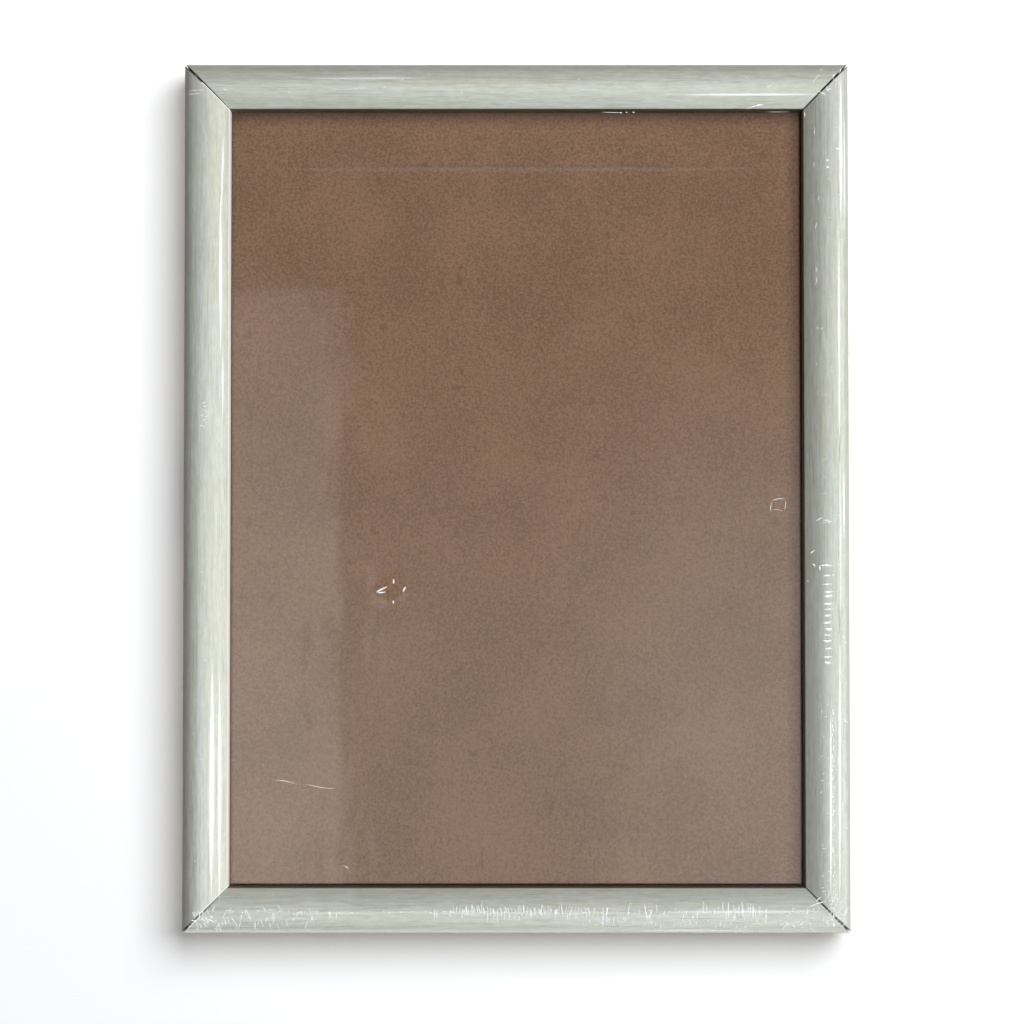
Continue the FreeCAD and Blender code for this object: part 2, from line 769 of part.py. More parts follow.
build()
check()
os.makedirs("parts", exist_ok=True)
for piece in made:
    piece.Shape.exportStep(f"parts/{piece.Label}.step")
    box = piece.Shape.BoundBox
    print(
        f"{piece.Label:24} solids {len(piece.Shape.Solids)}  "
        f"volume {piece.Shape.Volume:9.1f}  "
        f"X {box.XMin:8.2f} {box.XMax:8.2f}  Y {box.YMin:7.2f} {box.YMax:6.2f}  "
        f"Z {box.ZMin:8.2f} {box.ZMax:8.2f}"
    )
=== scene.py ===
"""Looks for a shrink-wrapped clip frame: foil-wrapped rails, glass, hardboard, clips and film.

Lengths are metres in the row frame: +X right, +Y to the wall, +Z up, and the zero point
is the middle notch of the top hanger.
"""

import math

import bpy
import numpy as np
from bpy.props import FloatProperty, FloatVectorProperty, IntProperty, PointerProperty
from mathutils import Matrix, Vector


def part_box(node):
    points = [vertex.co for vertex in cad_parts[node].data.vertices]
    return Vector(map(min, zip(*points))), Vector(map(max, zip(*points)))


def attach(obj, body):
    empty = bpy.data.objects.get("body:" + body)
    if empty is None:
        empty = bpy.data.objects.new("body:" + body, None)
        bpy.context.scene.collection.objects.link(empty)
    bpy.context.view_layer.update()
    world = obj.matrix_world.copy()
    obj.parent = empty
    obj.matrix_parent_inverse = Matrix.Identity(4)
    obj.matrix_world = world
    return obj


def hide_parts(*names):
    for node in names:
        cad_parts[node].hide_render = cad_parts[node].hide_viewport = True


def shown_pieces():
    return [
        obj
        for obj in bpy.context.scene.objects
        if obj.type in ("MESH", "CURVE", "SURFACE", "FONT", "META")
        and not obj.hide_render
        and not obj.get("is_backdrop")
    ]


bl_info = {
    "name": "Clip frame looks",
    "version": (1, 0, 0),
    "blender": (4, 5, 0),
    "location": "3D View > Sidebar > Clip frame",
    "description": "Foil, glass, hardboard, clips and shrink film of a portrait clip frame",
    "category": "Object",
}

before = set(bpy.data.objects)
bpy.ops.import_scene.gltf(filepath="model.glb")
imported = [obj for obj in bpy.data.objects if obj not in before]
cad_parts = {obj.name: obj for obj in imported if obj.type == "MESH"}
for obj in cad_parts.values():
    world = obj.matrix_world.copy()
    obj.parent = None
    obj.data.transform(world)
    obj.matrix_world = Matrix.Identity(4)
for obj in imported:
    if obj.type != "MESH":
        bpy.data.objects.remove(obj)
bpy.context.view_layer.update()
MM = 0.001

RIGHT_LOW, RIGHT_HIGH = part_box("right_rail_foil")
_, TOP_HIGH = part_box("top_rail_foil")
BOTTOM_LOW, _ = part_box("bottom_rail_foil")
GLASS_LOW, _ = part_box("glass_pane")

HALF_WIDTH = RIGHT_HIGH[0]
HALF_HEIGHT = (TOP_HIGH[2] - BOTTOM_LOW[2]) / 2
MIDDLE = (TOP_HIGH[2] + BOTTOM_LOW[2]) / 2
FACE = RIGHT_HIGH[0] - RIGHT_LOW[0]
BACK = RIGHT_HIGH[1]
CROWN = RIGHT_LOW[1]
LIP_FLOOR = GLASS_LOW[1]
RAILS = ("top", "right", "bottom", "left")
CLIPS = [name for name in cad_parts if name.startswith("turn_clip_")]

# The film's front and its creases.
VENT_CENTRE = (-37.1 * MM, -149.7 * MM)  # vent hole, low on the left of the pane
VENT_BLOCK, VENT_CELLS = 7.5 * MM, 10  # half width of the block of cells round it
VENT_POWER = 1.35  # roundness of the vent's outline: 1 is a diamond, 2 an ellipse
FRONT_INSET = 0.4 * MM  # from the crown line to the film's grid
STILL_EDGE = 12.0 * MM  # the film's waves die out over this width
CREASE_LIMIT = 0.15 * MM  # creases end this far in from the sides
CREASE_LIFT = 0.02 * MM  # and lie this far off the film
# The wraps.
SIGHT_ROUND = 0.35 * MM  # height of the softened sight edge
EDGE_ROWS, LIP_ROWS = 6, 6  # points on the softened edge and down the lip
LIP_START, LIP_FADE, LIP_REACH = 0.05 * MM, 0.2 * MM, 0.5 * MM  # where the lip's painted shade, or the left lip's painted highlight, sets in
STRAIGHT_SIDE = 4 * MM  # back part of the side, without ripple
RIPPLE = 0.012 * MM  # unevenness of the front along a rail
ROLL_DEPTH, ROLL_WIDTH = 0.10 * MM, 0.35 * MM  # how the front sinks at a mitre
BARE_WIDE, BARE_THIN = 0.55 * MM, 0.16 * MM  # cut edge seen at a mitre
# Painted shade on the board next to the lip: axis, sign, where the shade's middle lies and its
# width.
BOARD_RIMS = (
    (0, 1.0, HALF_WIDTH - FACE + 0.7 * MM, 1.25 * MM),
    (0, -1.0, HALF_WIDTH - FACE + 0.7 * MM, 0.78 * MM),
    (2, 1.0, TOP_HIGH[2] - FACE + 1.2 * MM, 0.60 * MM),
    (2, -1.0, -BOTTOM_LOW[2] - FACE + 0.7 * MM, 1.25 * MM),
)

WHITE, BLACK = (1.0, 1.0, 1.0), (0.0, 0.0, 0.0)


def number(name, default, description, **more):
    """A float property that isn't negative."""
    return FloatProperty(name=name, default=default, description=description, min=0.0, **more)


def length(name, default, description):
    """A length property in metres."""
    return number(name, default, description, unit="LENGTH", precision=5)


def power(name, default, description):
    """A lamp's power in watts."""
    return number(name, default, description, unit="POWER")


def colour(name, default, description):
    """A colour property, linear red, green and blue."""
    kind = {"subtype": "COLOR", "size": 3, "min": 0.0, "max": 1.0}
    return FloatVectorProperty(name=name, default=default, description=description, **kind)


class ViewSettings(bpy.types.PropertyGroup):
    """Where the camera stands."""

    distance: length("Distance", 0.85, "From the lens to the point aimed at")
    elevation: FloatProperty(
        name="Elevation",
        default=math.radians(-1.8),
        description="Above the horizon",
        subtype="ANGLE",
    )
    lens: number("Focal length", 100.95, "On a 36 mm sensor", unit="CAMERA")
    aim: FloatVectorProperty(
        name="Aim",
        default=(-0.00128, -0.0108, -0.12683),
        description="Point looked at",
        subtype="XYZ",
        unit="LENGTH",
    )


class StudioSettings(bpy.types.PropertyGroup):
    """Stage surfaces and lamps."""

    wall_gap: length("Wall gap", 0.0022, "From the row's zero plane back to the wall")
    wall_colour: colour("Wall", (0.893, 0.90, 0.910), "Pale wall and floor")
    floor_drop: length("Floor drop", 0.08, "From the frame's lowest edge down to the floor")
    ambient: number("Ambient", 0.15, "World level that lights the object")
    key: power("Key lamp", 27.0, "Large lamp in front")
    wall_lamp: power("Wall lamp", 37.0, "Lamp on the wall and floor")
    side: power("Side lamp", 5.5, "Lamp on the wraps from the right")
    side_left: power("Left lamp", 0.3, "Faint lamp beside the left rail")
    top_back: power("Top lamp", 1.0, "Faint lamp above and behind")
    back_lamp: power("Back lamp", 14.0, "Lamp behind")


class MouldingSettings(bpy.types.PropertyGroup):
    """The moulding's front curve and the wrap on it."""

    crown_radius: length("Crown radius", 12.0 * MM, "Radius of the broad front curve")
    crown_inset: length("Crown inset", 5.4 * MM, "Crown line in from the outer side")
    shoulder_radius: length("Shoulder radius", 3.5 * MM, "Radius of the outer shoulder")
    foil_thickness: length("Foil thickness", 0.2 * MM, "Printed wrap on the wood")
    mitre_gap_outer: length("Outer mitre gap", 0.35 * MM, "Opening per rail at the outer corner")
    mitre_gap_inner: length("Inner mitre gap", 0.03 * MM, "Opening per rail at the sight corner")
    foil: colour("Foil", (0.715, 0.737, 0.684), "Pale sage of the wrap")
    foil_warm: colour("Foil warm", (0.718, 0.722, 0.618), "Warmer bands of the print")
    foil_dark: colour("Foil streak", (0.550, 0.560, 0.475), "Darker print streaks")
    # bare_edge is also the pale tone and the glow of the left rail's lip, a painted highlight.
    bare_edge: colour("Cut edge", (0.95, 0.94, 0.89), "Paper of the wrap where it is cut")
    # lip_shade is painted shade on the lips of the top, right and bottom rails.
    lip_shade: colour("Lip", (0.085, 0.060, 0.038), "Bare fibre of the lip")
    # Painted shade: the dark mitre faces and cut ends stand in for the shadow in the open joints.
    joint_shade: colour("Mitre faces", (0.030, 0.022, 0.016), "Glued wood inside the joints")
    wood: colour("Raw wood", (0.46, 0.30, 0.17), "Pressed fibre under the wrap")


class SheetSettings(bpy.types.PropertyGroup):
    """Glass pane and backing board."""

    board: colour("Hardboard", (0.400, 0.235, 0.150), "Smooth face of the board")
    board_dark: colour("Hardboard dark", (0.270, 0.153, 0.097), "Fibres and specks")
    # board_rim_shade is painted shade in a rim next to the lip.
    board_rim_shade: colour("Hardboard rim", (0.022, 0.013, 0.007), "Shaded rim next to the lip")
    glass_tint: colour("Glass tint", (0.985, 0.995, 0.99), "Clear glass")


class MetalSettings(bpy.types.PropertyGroup):
    """Clips, screws, hangers and nails."""

    zinc: colour("Zinc", (0.60, 0.61, 0.62), "Plated steel of the clips")
    brass: colour("Brass", (0.70, 0.52, 0.27), "Plating of the hangers")
    steel: colour("Steel", (0.66, 0.66, 0.67), "Nails")


class FilmSettings(bpy.types.PropertyGroup):
    """Shrink film round the whole frame."""

    stand_off: length("Stand-off", 0.15 * MM, "Gap between film and foil")
    turn_in: length("Turn-in", 0.35 * MM, "How far the film folds in behind the rails")
    vent_width: length("Vent width", 8.4 * MM, "Width of the vent hole")
    vent_height: length("Vent height", 7.2 * MM, "Height of the vent hole")
    rim_rise: length("Vent rim", 0.22 * MM, "How far the vent's rim stands up")
    wave: length("Wave", 0.03 * MM, "Height of the slow waves over the pane")
    seed: IntProperty(name="Seed", default=11, description="Order of the scattered creases", min=0)


class ClipFrameSettings(bpy.types.PropertyGroup):
    """All settings of the clip frame."""

    view: PointerProperty(type=ViewSettings)
    studio: PointerProperty(type=StudioSettings)
    moulding: PointerProperty(type=MouldingSettings)
    sheets: PointerProperty(type=SheetSettings)
    metal: PointerProperty(type=MetalSettings)
    film: PointerProperty(type=FilmSettings)


# ---------------------------------------------------------------- node helpers


class Value:
    """A node's output; sums, differences, products, quotients and abs() of it add Math nodes."""

    def __init__(self, socket):
        self.socket, self.tree = socket, socket.id_data

    def __add__(self, other):
        return calc("ADD", self, other)

    def __sub__(self, other):
        return calc("SUBTRACT", self, other)

    def __rsub__(self, other):
        return calc("SUBTRACT", other, self)

    def __mul__(self, other):
        return calc("MULTIPLY", self, other)

    def __truediv__(self, other):
        return calc("DIVIDE", self, other)

    def __abs__(self):
        return calc("ABSOLUTE", self)


def plug(socket, value):
    """Gives one socket a link or a value; a colour of three numbers gets an alpha of one."""
    if isinstance(value, Value):
        value.tree.links.new(value.socket, socket)
    elif hasattr(value, "__len__") and len(value) == 3 and len(socket.default_value) == 4:
        socket.default_value = (*value, 1.0)
    else:
        socket.default_value = value


def feed(node, **sockets):
    """Gives named inputs of a node a value or a link."""
    for name, value in sockets.items():
        plug(node.inputs[name.replace("_", " ")], value)


def put(tree, kind, settings=None, **sockets):
    """Adds a node, sets its own settings and feeds its inputs."""
    node = tree.nodes.new("ShaderNode" + kind)
    for name, value in (settings or {}).items():
        setattr(node, name, value)
    feed(node, **sockets)
    return node


def out(node, key=0):
    """One of a node's outputs."""
    return Value(node.outputs[key])


def outputs(node):
    """All of a node's outputs by name."""
    return {socket.name: Value(socket) for socket in node.outputs}


def calc(operation, *values, clamp=False):
    """One Math node on values and numbers."""
    tree = next(value.tree for value in values if isinstance(value, Value))
    node = put(tree, "Math", {"operation": operation, "use_clamp": clamp})
    for socket, value in zip(node.inputs, values):
        plug(socket, value)
    return out(node)


def larger(first, second):
    """The larger of two values."""
    return calc("MAXIMUM", first, second)


def smaller(first, second):
    """The smaller of two values."""
    return calc("MINIMUM", first, second)


def blend(factor, first, second):
    """One colour Mix node: first at factor 0, second at 1."""
    node = put(factor.tree, "Mix", {"data_type": "RGBA"})
    for index, value in ((0, factor), (6, first), (7, second)):
        plug(node.inputs[index], value)
    return out(node, 2)


def mix_shaders(factor, first, second):
    """One Mix Shader node: first at factor 0, second at 1."""
    node = put(factor.tree, "MixShader")
    for socket, value in zip(node.inputs, (factor, first, second)):
        plug(socket, value)
    return out(node)


def span(value, low, high, to_low=0.0, to_high=1.0, smooth=False):
    """Map Range, clamped."""
    ranges = {"From_Min": low, "From_Max": high, "To_Min": to_low, "To_Max": to_high}
    node = put(value.tree, "MapRange", Value=value, **ranges)
    node.interpolation_type = "SMOOTHSTEP" if smooth else "LINEAR"
    return out(node)


def noise(vector, scale, detail=3.0, roughness=0.5):
    """Noise value of a vector."""
    shape = {"Scale": scale, "Detail": detail, "Roughness": roughness}
    return out(put(vector.tree, "TexNoise", Vector=vector, **shape))


def streaks(vector, stretch, scale=1.0, detail=2.0, roughness=0.5):
    """Noise in coordinates that are stretched first."""
    vector = out(put(vector.tree, "Mapping", Vector=vector, Scale=stretch))
    return noise(vector, scale, detail, roughness)


def axes(vector):
    """The three parts of a vector."""
    node = put(vector.tree, "SeparateXYZ", Vector=vector)
    return [Value(socket) for socket in node.outputs]


def mark(tree, name):
    """A value that the mesh carries at its points."""
    return out(put(tree, "Attribute", {"attribute_name": name}), "Fac")


def object_place(tree):
    """Object coordinates."""
    return out(put(tree, "TexCoord"), "Object")


def bump(height, strength, distance):
    """Normal of a Bump node."""
    return out(put(height.tree, "Bump", Height=height, Strength=strength, Distance=distance))


def new_material(name):
    """An empty node material with its Principled shader wired to the output."""
    material = bpy.data.materials.new(name)
    material.use_nodes = True
    tree = material.node_tree
    tree.nodes.clear()
    end = put(tree, "OutputMaterial")
    shader = put(tree, "BsdfPrincipled")
    plug(end.inputs[0], out(shader))
    return material, tree, shader, end


def shader_group(name, wire, made, **inputs):
    """A node group made once: wire(inputs) returns the values of the outputs that made lists.

    An input's default says its kind: None is a vector, a tuple a colour, else a float.
    The output Color is a colour and any other one a float.
    """
    if name in bpy.data.node_groups:
        return bpy.data.node_groups[name]
    group = bpy.data.node_groups.new(name, "ShaderNodeTree")
    kinds = {type(None): "Vector", tuple: "Color", float: "Float"}
    for label, default in inputs.items():
        label, kind = label.replace("_", " "), "NodeSocket" + kinds[type(default)]
        socket = group.interface.new_socket(label, in_out="INPUT", socket_type=kind)
        if default is not None:
            socket.default_value = default
    for label in made:
        kind = "NodeSocketColor" if label == "Color" else "NodeSocketFloat"
        group.interface.new_socket(label, in_out="OUTPUT", socket_type=kind)
    start, end = group.nodes.new("NodeGroupInput"), group.nodes.new("NodeGroupOutput")
    values = wire(outputs(start))
    for label in made:
        plug(end.inputs[label], values[label])
    return group


def use_group(tree, group, **sockets):
    """Places a node group and feeds its inputs; returns its outputs by name."""
    return outputs(put(tree, "Group", {"node_tree": group}, **sockets))


def fibre_group():
    """Pressed fibres: two noises give a mottle, a third picks out dark specks."""

    def wire(given):
        place = given["Vector"]
        cloud = noise(place, given["Cloud Scale"], 2.0)
        fine = noise(place, given["Fibre Scale"], 4.0, 0.65)
        speck = noise(place, given["Speck Scale"], 1.0)
        mottle = cloud * 0.2 + fine * 0.8
        specks = span(speck, 0.70, 0.78)
        tone = calc("SUBTRACT", span(mottle, 0.40, 0.58), specks * 0.6, clamp=True)
        colours = blend(tone, given["Dark"], given["Light"])
        return {"Color": colours, "Mask": tone, "Height": fine + cloud * 0.4}

    return shader_group(
        "pressed_fibres",
        wire,
        ("Color", "Mask", "Height"),
        Vector=None,
        Light=(0.5, 0.4, 0.3, 1),
        Dark=(0.3, 0.2, 0.1, 1),
        Cloud_Scale=60.0,
        Fibre_Scale=900.0,
        Speck_Scale=400.0,
    )


def plating_group():
    """Plated metal: cloudy tone, fine drawn lines and small scuffs."""

    def wire(given):
        place = given["Vector"]
        cloud = noise(place, given["Cloud Scale"], 3.0)
        drawn = streaks(place, (1.0, 1.0, 14.0), given["Line Scale"])
        scuff = span(noise(place, given["Scuff Scale"], 4.0, 0.7), 0.58, 0.72)
        tone = cloud * 0.6 + drawn * 0.4
        shade = blend(span(tone, 0.3, 0.7), given["Dark"], given["Light"])
        rough = given["Roughness"] + scuff * 0.18 + span(cloud, 0.35, 0.65, -0.05, 0.05)
        return {"Color": shade, "Roughness": rough, "Height": drawn - scuff * 0.5}

    return shader_group(
        "plated_metal",
        wire,
        ("Color", "Roughness", "Height"),
        Vector=None,
        Light=(0.7, 0.7, 0.7, 1),
        Dark=(0.5, 0.5, 0.5, 1),
        Roughness=0.3,
        Cloud_Scale=250.0,
        Line_Scale=500.0,
        Scuff_Scale=700.0,
    )


# ---------------------------------------------------------------- mesh helpers


def add_object(name, data):
    """A new object in the scene."""
    piece = bpy.data.objects.new(name, data)
    bpy.context.scene.collection.objects.link(piece)
    return piece


def point_along(piece, way):
    """Turns a lamp or a camera to look along a direction."""
    piece.rotation_mode = "QUATERNION"
    piece.rotation_quaternion = way.to_track_quat("-Z", "Y")


def lay_mesh(name, points, faces, material, uv=None, marks=None, sharp=35.0, closed=True):
    """Makes a piece that rides on the frame from points and faces.

    A closed shell is turned outwards: one whose signed volume, the sum of v0 . (v1 x v2)
    over its faces, is below zero has all its faces reversed.
    """
    faces = [np.asarray(part) for part in faces]
    if closed:
        volume = 0.0
        for part in faces:
            corner = points[part]
            for k in range(1, part.shape[1] - 1):
                normal = np.cross(corner[:, k], corner[:, k + 1])
                volume += np.einsum("ij,ij->", corner[:, 0], normal)
        if volume < 0:
            faces = [part[:, ::-1] for part in faces]
    mesh = bpy.data.meshes.new(name)
    mesh.from_pydata(points.tolist(), [], [row for part in faces for row in part.tolist()])
    mesh.validate()
    if uv is not None:
        layer = mesh.uv_layers.new(name="wrap")
        corners = np.empty(len(mesh.loops), dtype=np.int32)
        mesh.loops.foreach_get("vertex_index", corners)
        layer.data.foreach_set("uv", uv[corners].ravel())
    for label, values in (marks or {}).items():
        layer = mesh.attributes.new(label, "FLOAT", "POINT")
        layer.data.foreach_set("value", values.ravel().astype(np.float32))
    mesh.shade_smooth()
    mesh.set_sharp_from_angle(angle=math.radians(sharp))
    mesh.materials.append(material)
    piece = add_object(name, mesh)
    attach(piece, "frame")
    return piece


def grid_quads(rows, columns, wrap=False):
    """Quads of a grid of points stored row by row; wrap joins the last column to the first."""
    across = columns if wrap else columns - 1
    row, column = np.meshgrid(np.arange(rows - 1), np.arange(across), indexing="ij")
    here, above = row * columns, (row + 1) * columns
    after = (column + 1) % columns
    quads = np.stack([here + column, here + after, above + after, above + column], -1)
    return quads.reshape(-1, 4)


def arc_offset(shape):
    """How far the shoulder's centre lies outside and in front of the crown's centre.

    With it the two arcs touch on the line through both centres.
    """
    run = shape.crown_inset - shape.shoulder_radius
    return run, math.sqrt((shape.crown_radius - shape.shoulder_radius) ** 2 - run**2)


def front_curve(shape, lift, end):
    """Front of the section as (across, depth) rows, from the shoulder's start to across = end.

    Two tangent arcs about fixed centres: the shoulder's centre is one shoulder radius in
    from the side, and the crown's centre is one crown radius behind the crown line. lift
    adds to both radii, so a lifted curve keeps an even gap.
    """
    big, small, inset = shape.crown_radius, shape.shoulder_radius, shape.crown_inset
    run, drop = arc_offset(shape)
    crown_centre = np.array([inset, CROWN + big])
    shoulder_centre = crown_centre - (run, drop)
    meet = math.atan2(-drop, -run)
    last = -math.acos((end - inset) / (big + lift))

    def arc(centre, radius, angle):
        """Points on a circle."""
        return centre + radius * np.stack([np.cos(angle), np.sin(angle)], -1)

    shoulder = arc(shoulder_centre, small + lift, np.linspace(-math.pi, meet, 12))
    crown = arc(crown_centre, big + lift, np.linspace(meet, last, 42)[1:])
    return np.concatenate([shoulder, crown])


def wrap_section(shape, inward):
    """The wrap's skin as (across, depth) rows: side, front curve, sight edge and lip.

    The softened sight edge is a quadratic curve whose middle control point is the sharp corner.
    """
    curve = front_curve(shape, -inward, FACE - inward)
    side = np.stack([np.full(8, inward), np.linspace(BACK, curve[0, 1], 9)[:-1]], -1)
    corner = curve[-1]
    before, below = curve[-3], corner + (0.0, SIGHT_ROUND)
    t = np.linspace(0, 1, EDGE_ROWS)[:, None]
    edge = (1 - t) ** 2 * before + 2 * t * (1 - t) * corner + t**2 * below
    down = np.linspace(below[1], LIP_FLOOR, LIP_ROWS + 1)[1:]
    lip = np.stack([np.full(LIP_ROWS, corner[0]), down], -1)
    return np.concatenate([side, curve[:-3], edge, lip])


def rail_place(rail, along, across, depth):
    """Row-frame points of a rail from (along, in from the outer side, depth)."""
    sign = 1 if rail in ("top", "right") else -1
    if rail in ("top", "bottom"):
        return np.stack([along, depth, MIDDLE + sign * (HALF_HEIGHT - across)], -1)
    return np.stack([sign * (HALF_WIDTH - across), depth, MIDDLE + along], -1)


def foil_piece(rail, shape, material):
    """One rail's wrap: the closed band between two lifted sections, carried along the rail.

    A column stands at a fixed distance from the mitre near the ends and at a fixed share of
    the rest between them. The mitre runs from (half length - outer gap) at the side to
    (half opening - inner gap) at the lip. Depth also has a soft ripple along the rail. The
    bare cut is wide on the upright rails, and pale on the inner part of the left rail and
    the outer part of the bottom rail's left end.
    """
    skin, glue = wrap_section(shape, 0.0), wrap_section(shape, shape.foil_thickness)
    section = np.concatenate([skin, glue[::-1]])
    columns = len(section)
    half = HALF_WIDTH if rail in ("top", "bottom") else HALF_HEIGHT
    slope = (FACE - (shape.mitre_gap_outer - shape.mitre_gap_inner)) / FACE
    reach = half - shape.mitre_gap_outer - section[:, 0] * slope
    near = np.array([0, 0.08, 0.18, 0.3, 0.45, 0.65, 0.9, 1.3, 2, 3, 4.5, 7, 10]) * MM
    share = np.linspace(0, 1, 48)[1:-1, None]
    between = (reach - near[-1]) * (2 * share - 1)
    along = np.concatenate([near[:, None] - reach, between, reach - near[::-1, None]])
    across = np.broadcast_to(section[:, 0], along.shape)
    from_cut = np.minimum(along + reach, reach - along)

    phase = RAILS.index(rail) * 1.7
    slow = np.sin(along * 71 + across * 300 + 2 * phase)
    ripple = RIPPLE * (np.sin(along * 190 + phase) + slow)
    roll = ROLL_DEPTH * np.clip(1 - from_cut / ROLL_WIDTH, 0, 1) ** 2
    in_front = section[:, 1] < BACK - STRAIGHT_SIDE
    depth = section[:, 1] + np.where(in_front, ripple + roll, 0.0)
    points = rail_place(rail, along, across, depth)
    around = np.concatenate([[0], np.cumsum(np.hypot(*np.diff(section, axis=0).T))])
    uv = np.stack([along, np.broadcast_to(around, along.shape)], -1).reshape(-1, 2)
    body = grid_quads(len(along), columns, wrap=True)
    i = np.arange(len(skin) - 1)
    near_end = np.stack([i, i + 1, columns - 2 - i, columns - 1 - i], -1)
    far_end = (len(along) - 1) * columns + near_end[:, ::-1]

    edge_top = skin[-EDGE_ROWS - LIP_ROWS, 1]
    in_lip = np.clip((section[:, 1] - edge_top - LIP_START) / LIP_FADE, 0, 1)
    in_lip = in_lip * (section[:, 0] > FACE - LIP_REACH)
    inner = across > 0.4 * FACE
    if rail == "left":
        pale = inner
    else:
        pale = ~inner & (points[..., 0] < 0) & (rail == "bottom")
    bare = np.where(pale | (rail in ("left", "right")), BARE_WIDE, BARE_THIN)
    marks = {
        "bare_edge": np.clip(1 - from_cut / bare, 0, 1),
        "from_side": across / FACE,
        "pale_cut": pale,
        "lip": np.broadcast_to(in_lip, along.shape),
        "rail": np.full(along.shape, RAILS.index(rail)),
    }
    points, faces = points.reshape(-1, 3), [body, near_end, far_end]
    piece = lay_mesh(f"{rail}_foil_wrap", points, faces, material, uv, marks)
    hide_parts(f"{rail}_rail_foil")
    return piece


# ---------------------------------------------------------------- materials


def foil_material(shape):
    """Satin printed wrap: streaks run along the rail, and the paper shows where it is cut.

    The rail attribute is the rail's number in RAILS, so a limit of 2.5 picks the left rail.
    On the top, right and bottom rails the lip is painted shade; on the left rail it is pale
    paper that glows, a painted highlight.
    """
    material, tree, shader, _ = new_material("sage_foil_finish")
    wrap = out(put(tree, "UVMap", {"uv_map": "wrap"}))
    rail = mark(tree, "rail")
    bare = mark(tree, "bare_edge")
    apart = out(put(tree, "CombineXYZ", X=0.0, Y=0.0, Z=rail))
    shift = put(tree, "VectorMath", {"operation": "ADD"})
    plug(shift.inputs[0], wrap)
    plug(shift.inputs[1], apart)
    place = out(shift)
    patch = streaks(place, (190, 900, 3), detail=3.0, roughness=0.6)
    streak = streaks(place, (60, 1900, 5), detail=3.0, roughness=0.6)
    hair = streaks(place, (420, 3400, 7))
    hue = streaks(place, (14, 330, 9))
    tone = patch * 0.4 + streak * 0.35 + hair * 0.25
    ground = blend(span(hue, 0.38, 0.62), shape.foil_warm, shape.foil)
    print_tone = blend(span(tone, 0.36, 0.62), shape.foil_dark, ground)
    line = span(streaks(place, (50, 2600, 11), detail=1.0), 0.60, 0.70) * 0.6
    print_tone = blend(line, print_tone, [0.80 * c for c in shape.foil_dark])
    ragged = bare + (hair - 0.5) * 0.5
    cut = span(ragged, 0.26, 0.46)
    side = mark(tree, "from_side")
    lip = mark(tree, "lip")
    # The lip: painted shade on the top, right and bottom rails, pale paper on the left rail.
    lip_tone = blend(span(rail, 2.4, 2.6), shape.lip_shade, shape.bare_edge)
    # Cut ends that aren't pale take the painted joint shade.
    cut_tone = blend(mark(tree, "pale_cut"), shape.joint_shade, shape.bare_edge)
    finish = blend(cut, blend(lip, print_tone, lip_tone), cut_tone)
    cut = larger(cut, lip * span(rail, 2.6, 2.4))
    # The left rail's lip glows: a painted highlight.
    glow = lip * span(rail, 2.4, 2.6) * 0.42
    rough = span(streak, 0.3, 0.7, 0.34, 0.46) + cut * 0.2
    height = streak + hair * 0.5
    feed(
        shader,
        Base_Color=finish,
        Roughness=rough,
        Emission_Color=shape.bare_edge,
        Emission_Strength=glow,
        Normal=bump(height, 0.30, 0.00010),
        Metallic=span(cut, 0.0, 1.0, 0.68, 0.0) * span(side, 0.0, 0.10, 0.8, 1.0),
    )
    return material


def wood_material(shape):
    """Raw pressed fibre of the rails, darkened with painted joint shade in front of the rebate at
    the mitres.
    """
    material, tree, shader, _ = new_material("wood_fibre_finish")
    place = object_place(tree)
    made = use_group(
        tree,
        fibre_group(),
        Vector=place,
        Light=shape.wood,
        Dark=[0.62 * c for c in shape.wood],
        Cloud_Scale=90.0,
        Fibre_Scale=1700.0,
        Speck_Scale=900.0,
    )
    x, y, z = axes(place)
    apart = abs(HALF_WIDTH - abs(x) - (HALF_HEIGHT - abs(z - MIDDLE)))
    joint, rebate = (0.6 * MM, 0.9 * MM), (-2.4 * MM, -1.9 * MM)  # from painted joint shade to bare wood
    behind = span(y, *rebate)
    bare = larger(span(apart, *joint), behind)
    wood = blend(bare, shape.joint_shade, made["Color"])
    feed(shader, Base_Color=wood, Roughness=0.82, Normal=bump(made["Height"], 0.5, 0.0001))
    return material


def board_material(sheet):
    """Hardboard: fine brown mottle with dark specks, and painted shade next to the lip."""
    material, tree, shader, _ = new_material("hardboard_finish")
    place = object_place(tree)
    made = use_group(
        tree,
        fibre_group(),
        Vector=place,
        Light=sheet.board,
        Dark=sheet.board_dark,
        Cloud_Scale=38.0,
        Fibre_Scale=1450.0,
        Speck_Scale=330.0,
    )
    rough = span(made["Mask"], 0.0, 1.0, 0.5, 0.62)
    at = axes(place)
    sides = [(reach - at[axis] * sign) / wide for axis, sign, reach, wide in BOARD_RIMS]
    nearest = smaller(smaller(*sides[:2]), smaller(*sides[2:]))
    back_start, back_stop = -4.6 * MM, -4.0 * MM  # no painted shade behind this depth
    behind = span(at[1], back_start, back_stop)
    clear = larger(span(nearest, 0.75, 1.25, smooth=True), behind)
    face = blend(clear, sheet.board_rim_shade, made["Color"])
    feed(shader, Base_Color=face, Roughness=rough, Normal=bump(made["Height"], 0.25, 0.0001))
    return material


def glass_material(sheet):
    """Clear glass that lets lamp light through to the board."""
    material, tree, shader, end = new_material("clear_glass_finish")
    feed(shader, Base_Color=sheet.glass_tint, Roughness=0.0, IOR=1.46, Transmission_Weight=1.0)
    through = out(put(tree, "BsdfTransparent", Color=(0.94, 0.96, 0.95)))
    shadow = out(put(tree, "LightPath"), "Is Shadow Ray")
    plug(end.inputs[0], mix_shaders(shadow, out(shader), through))
    return material


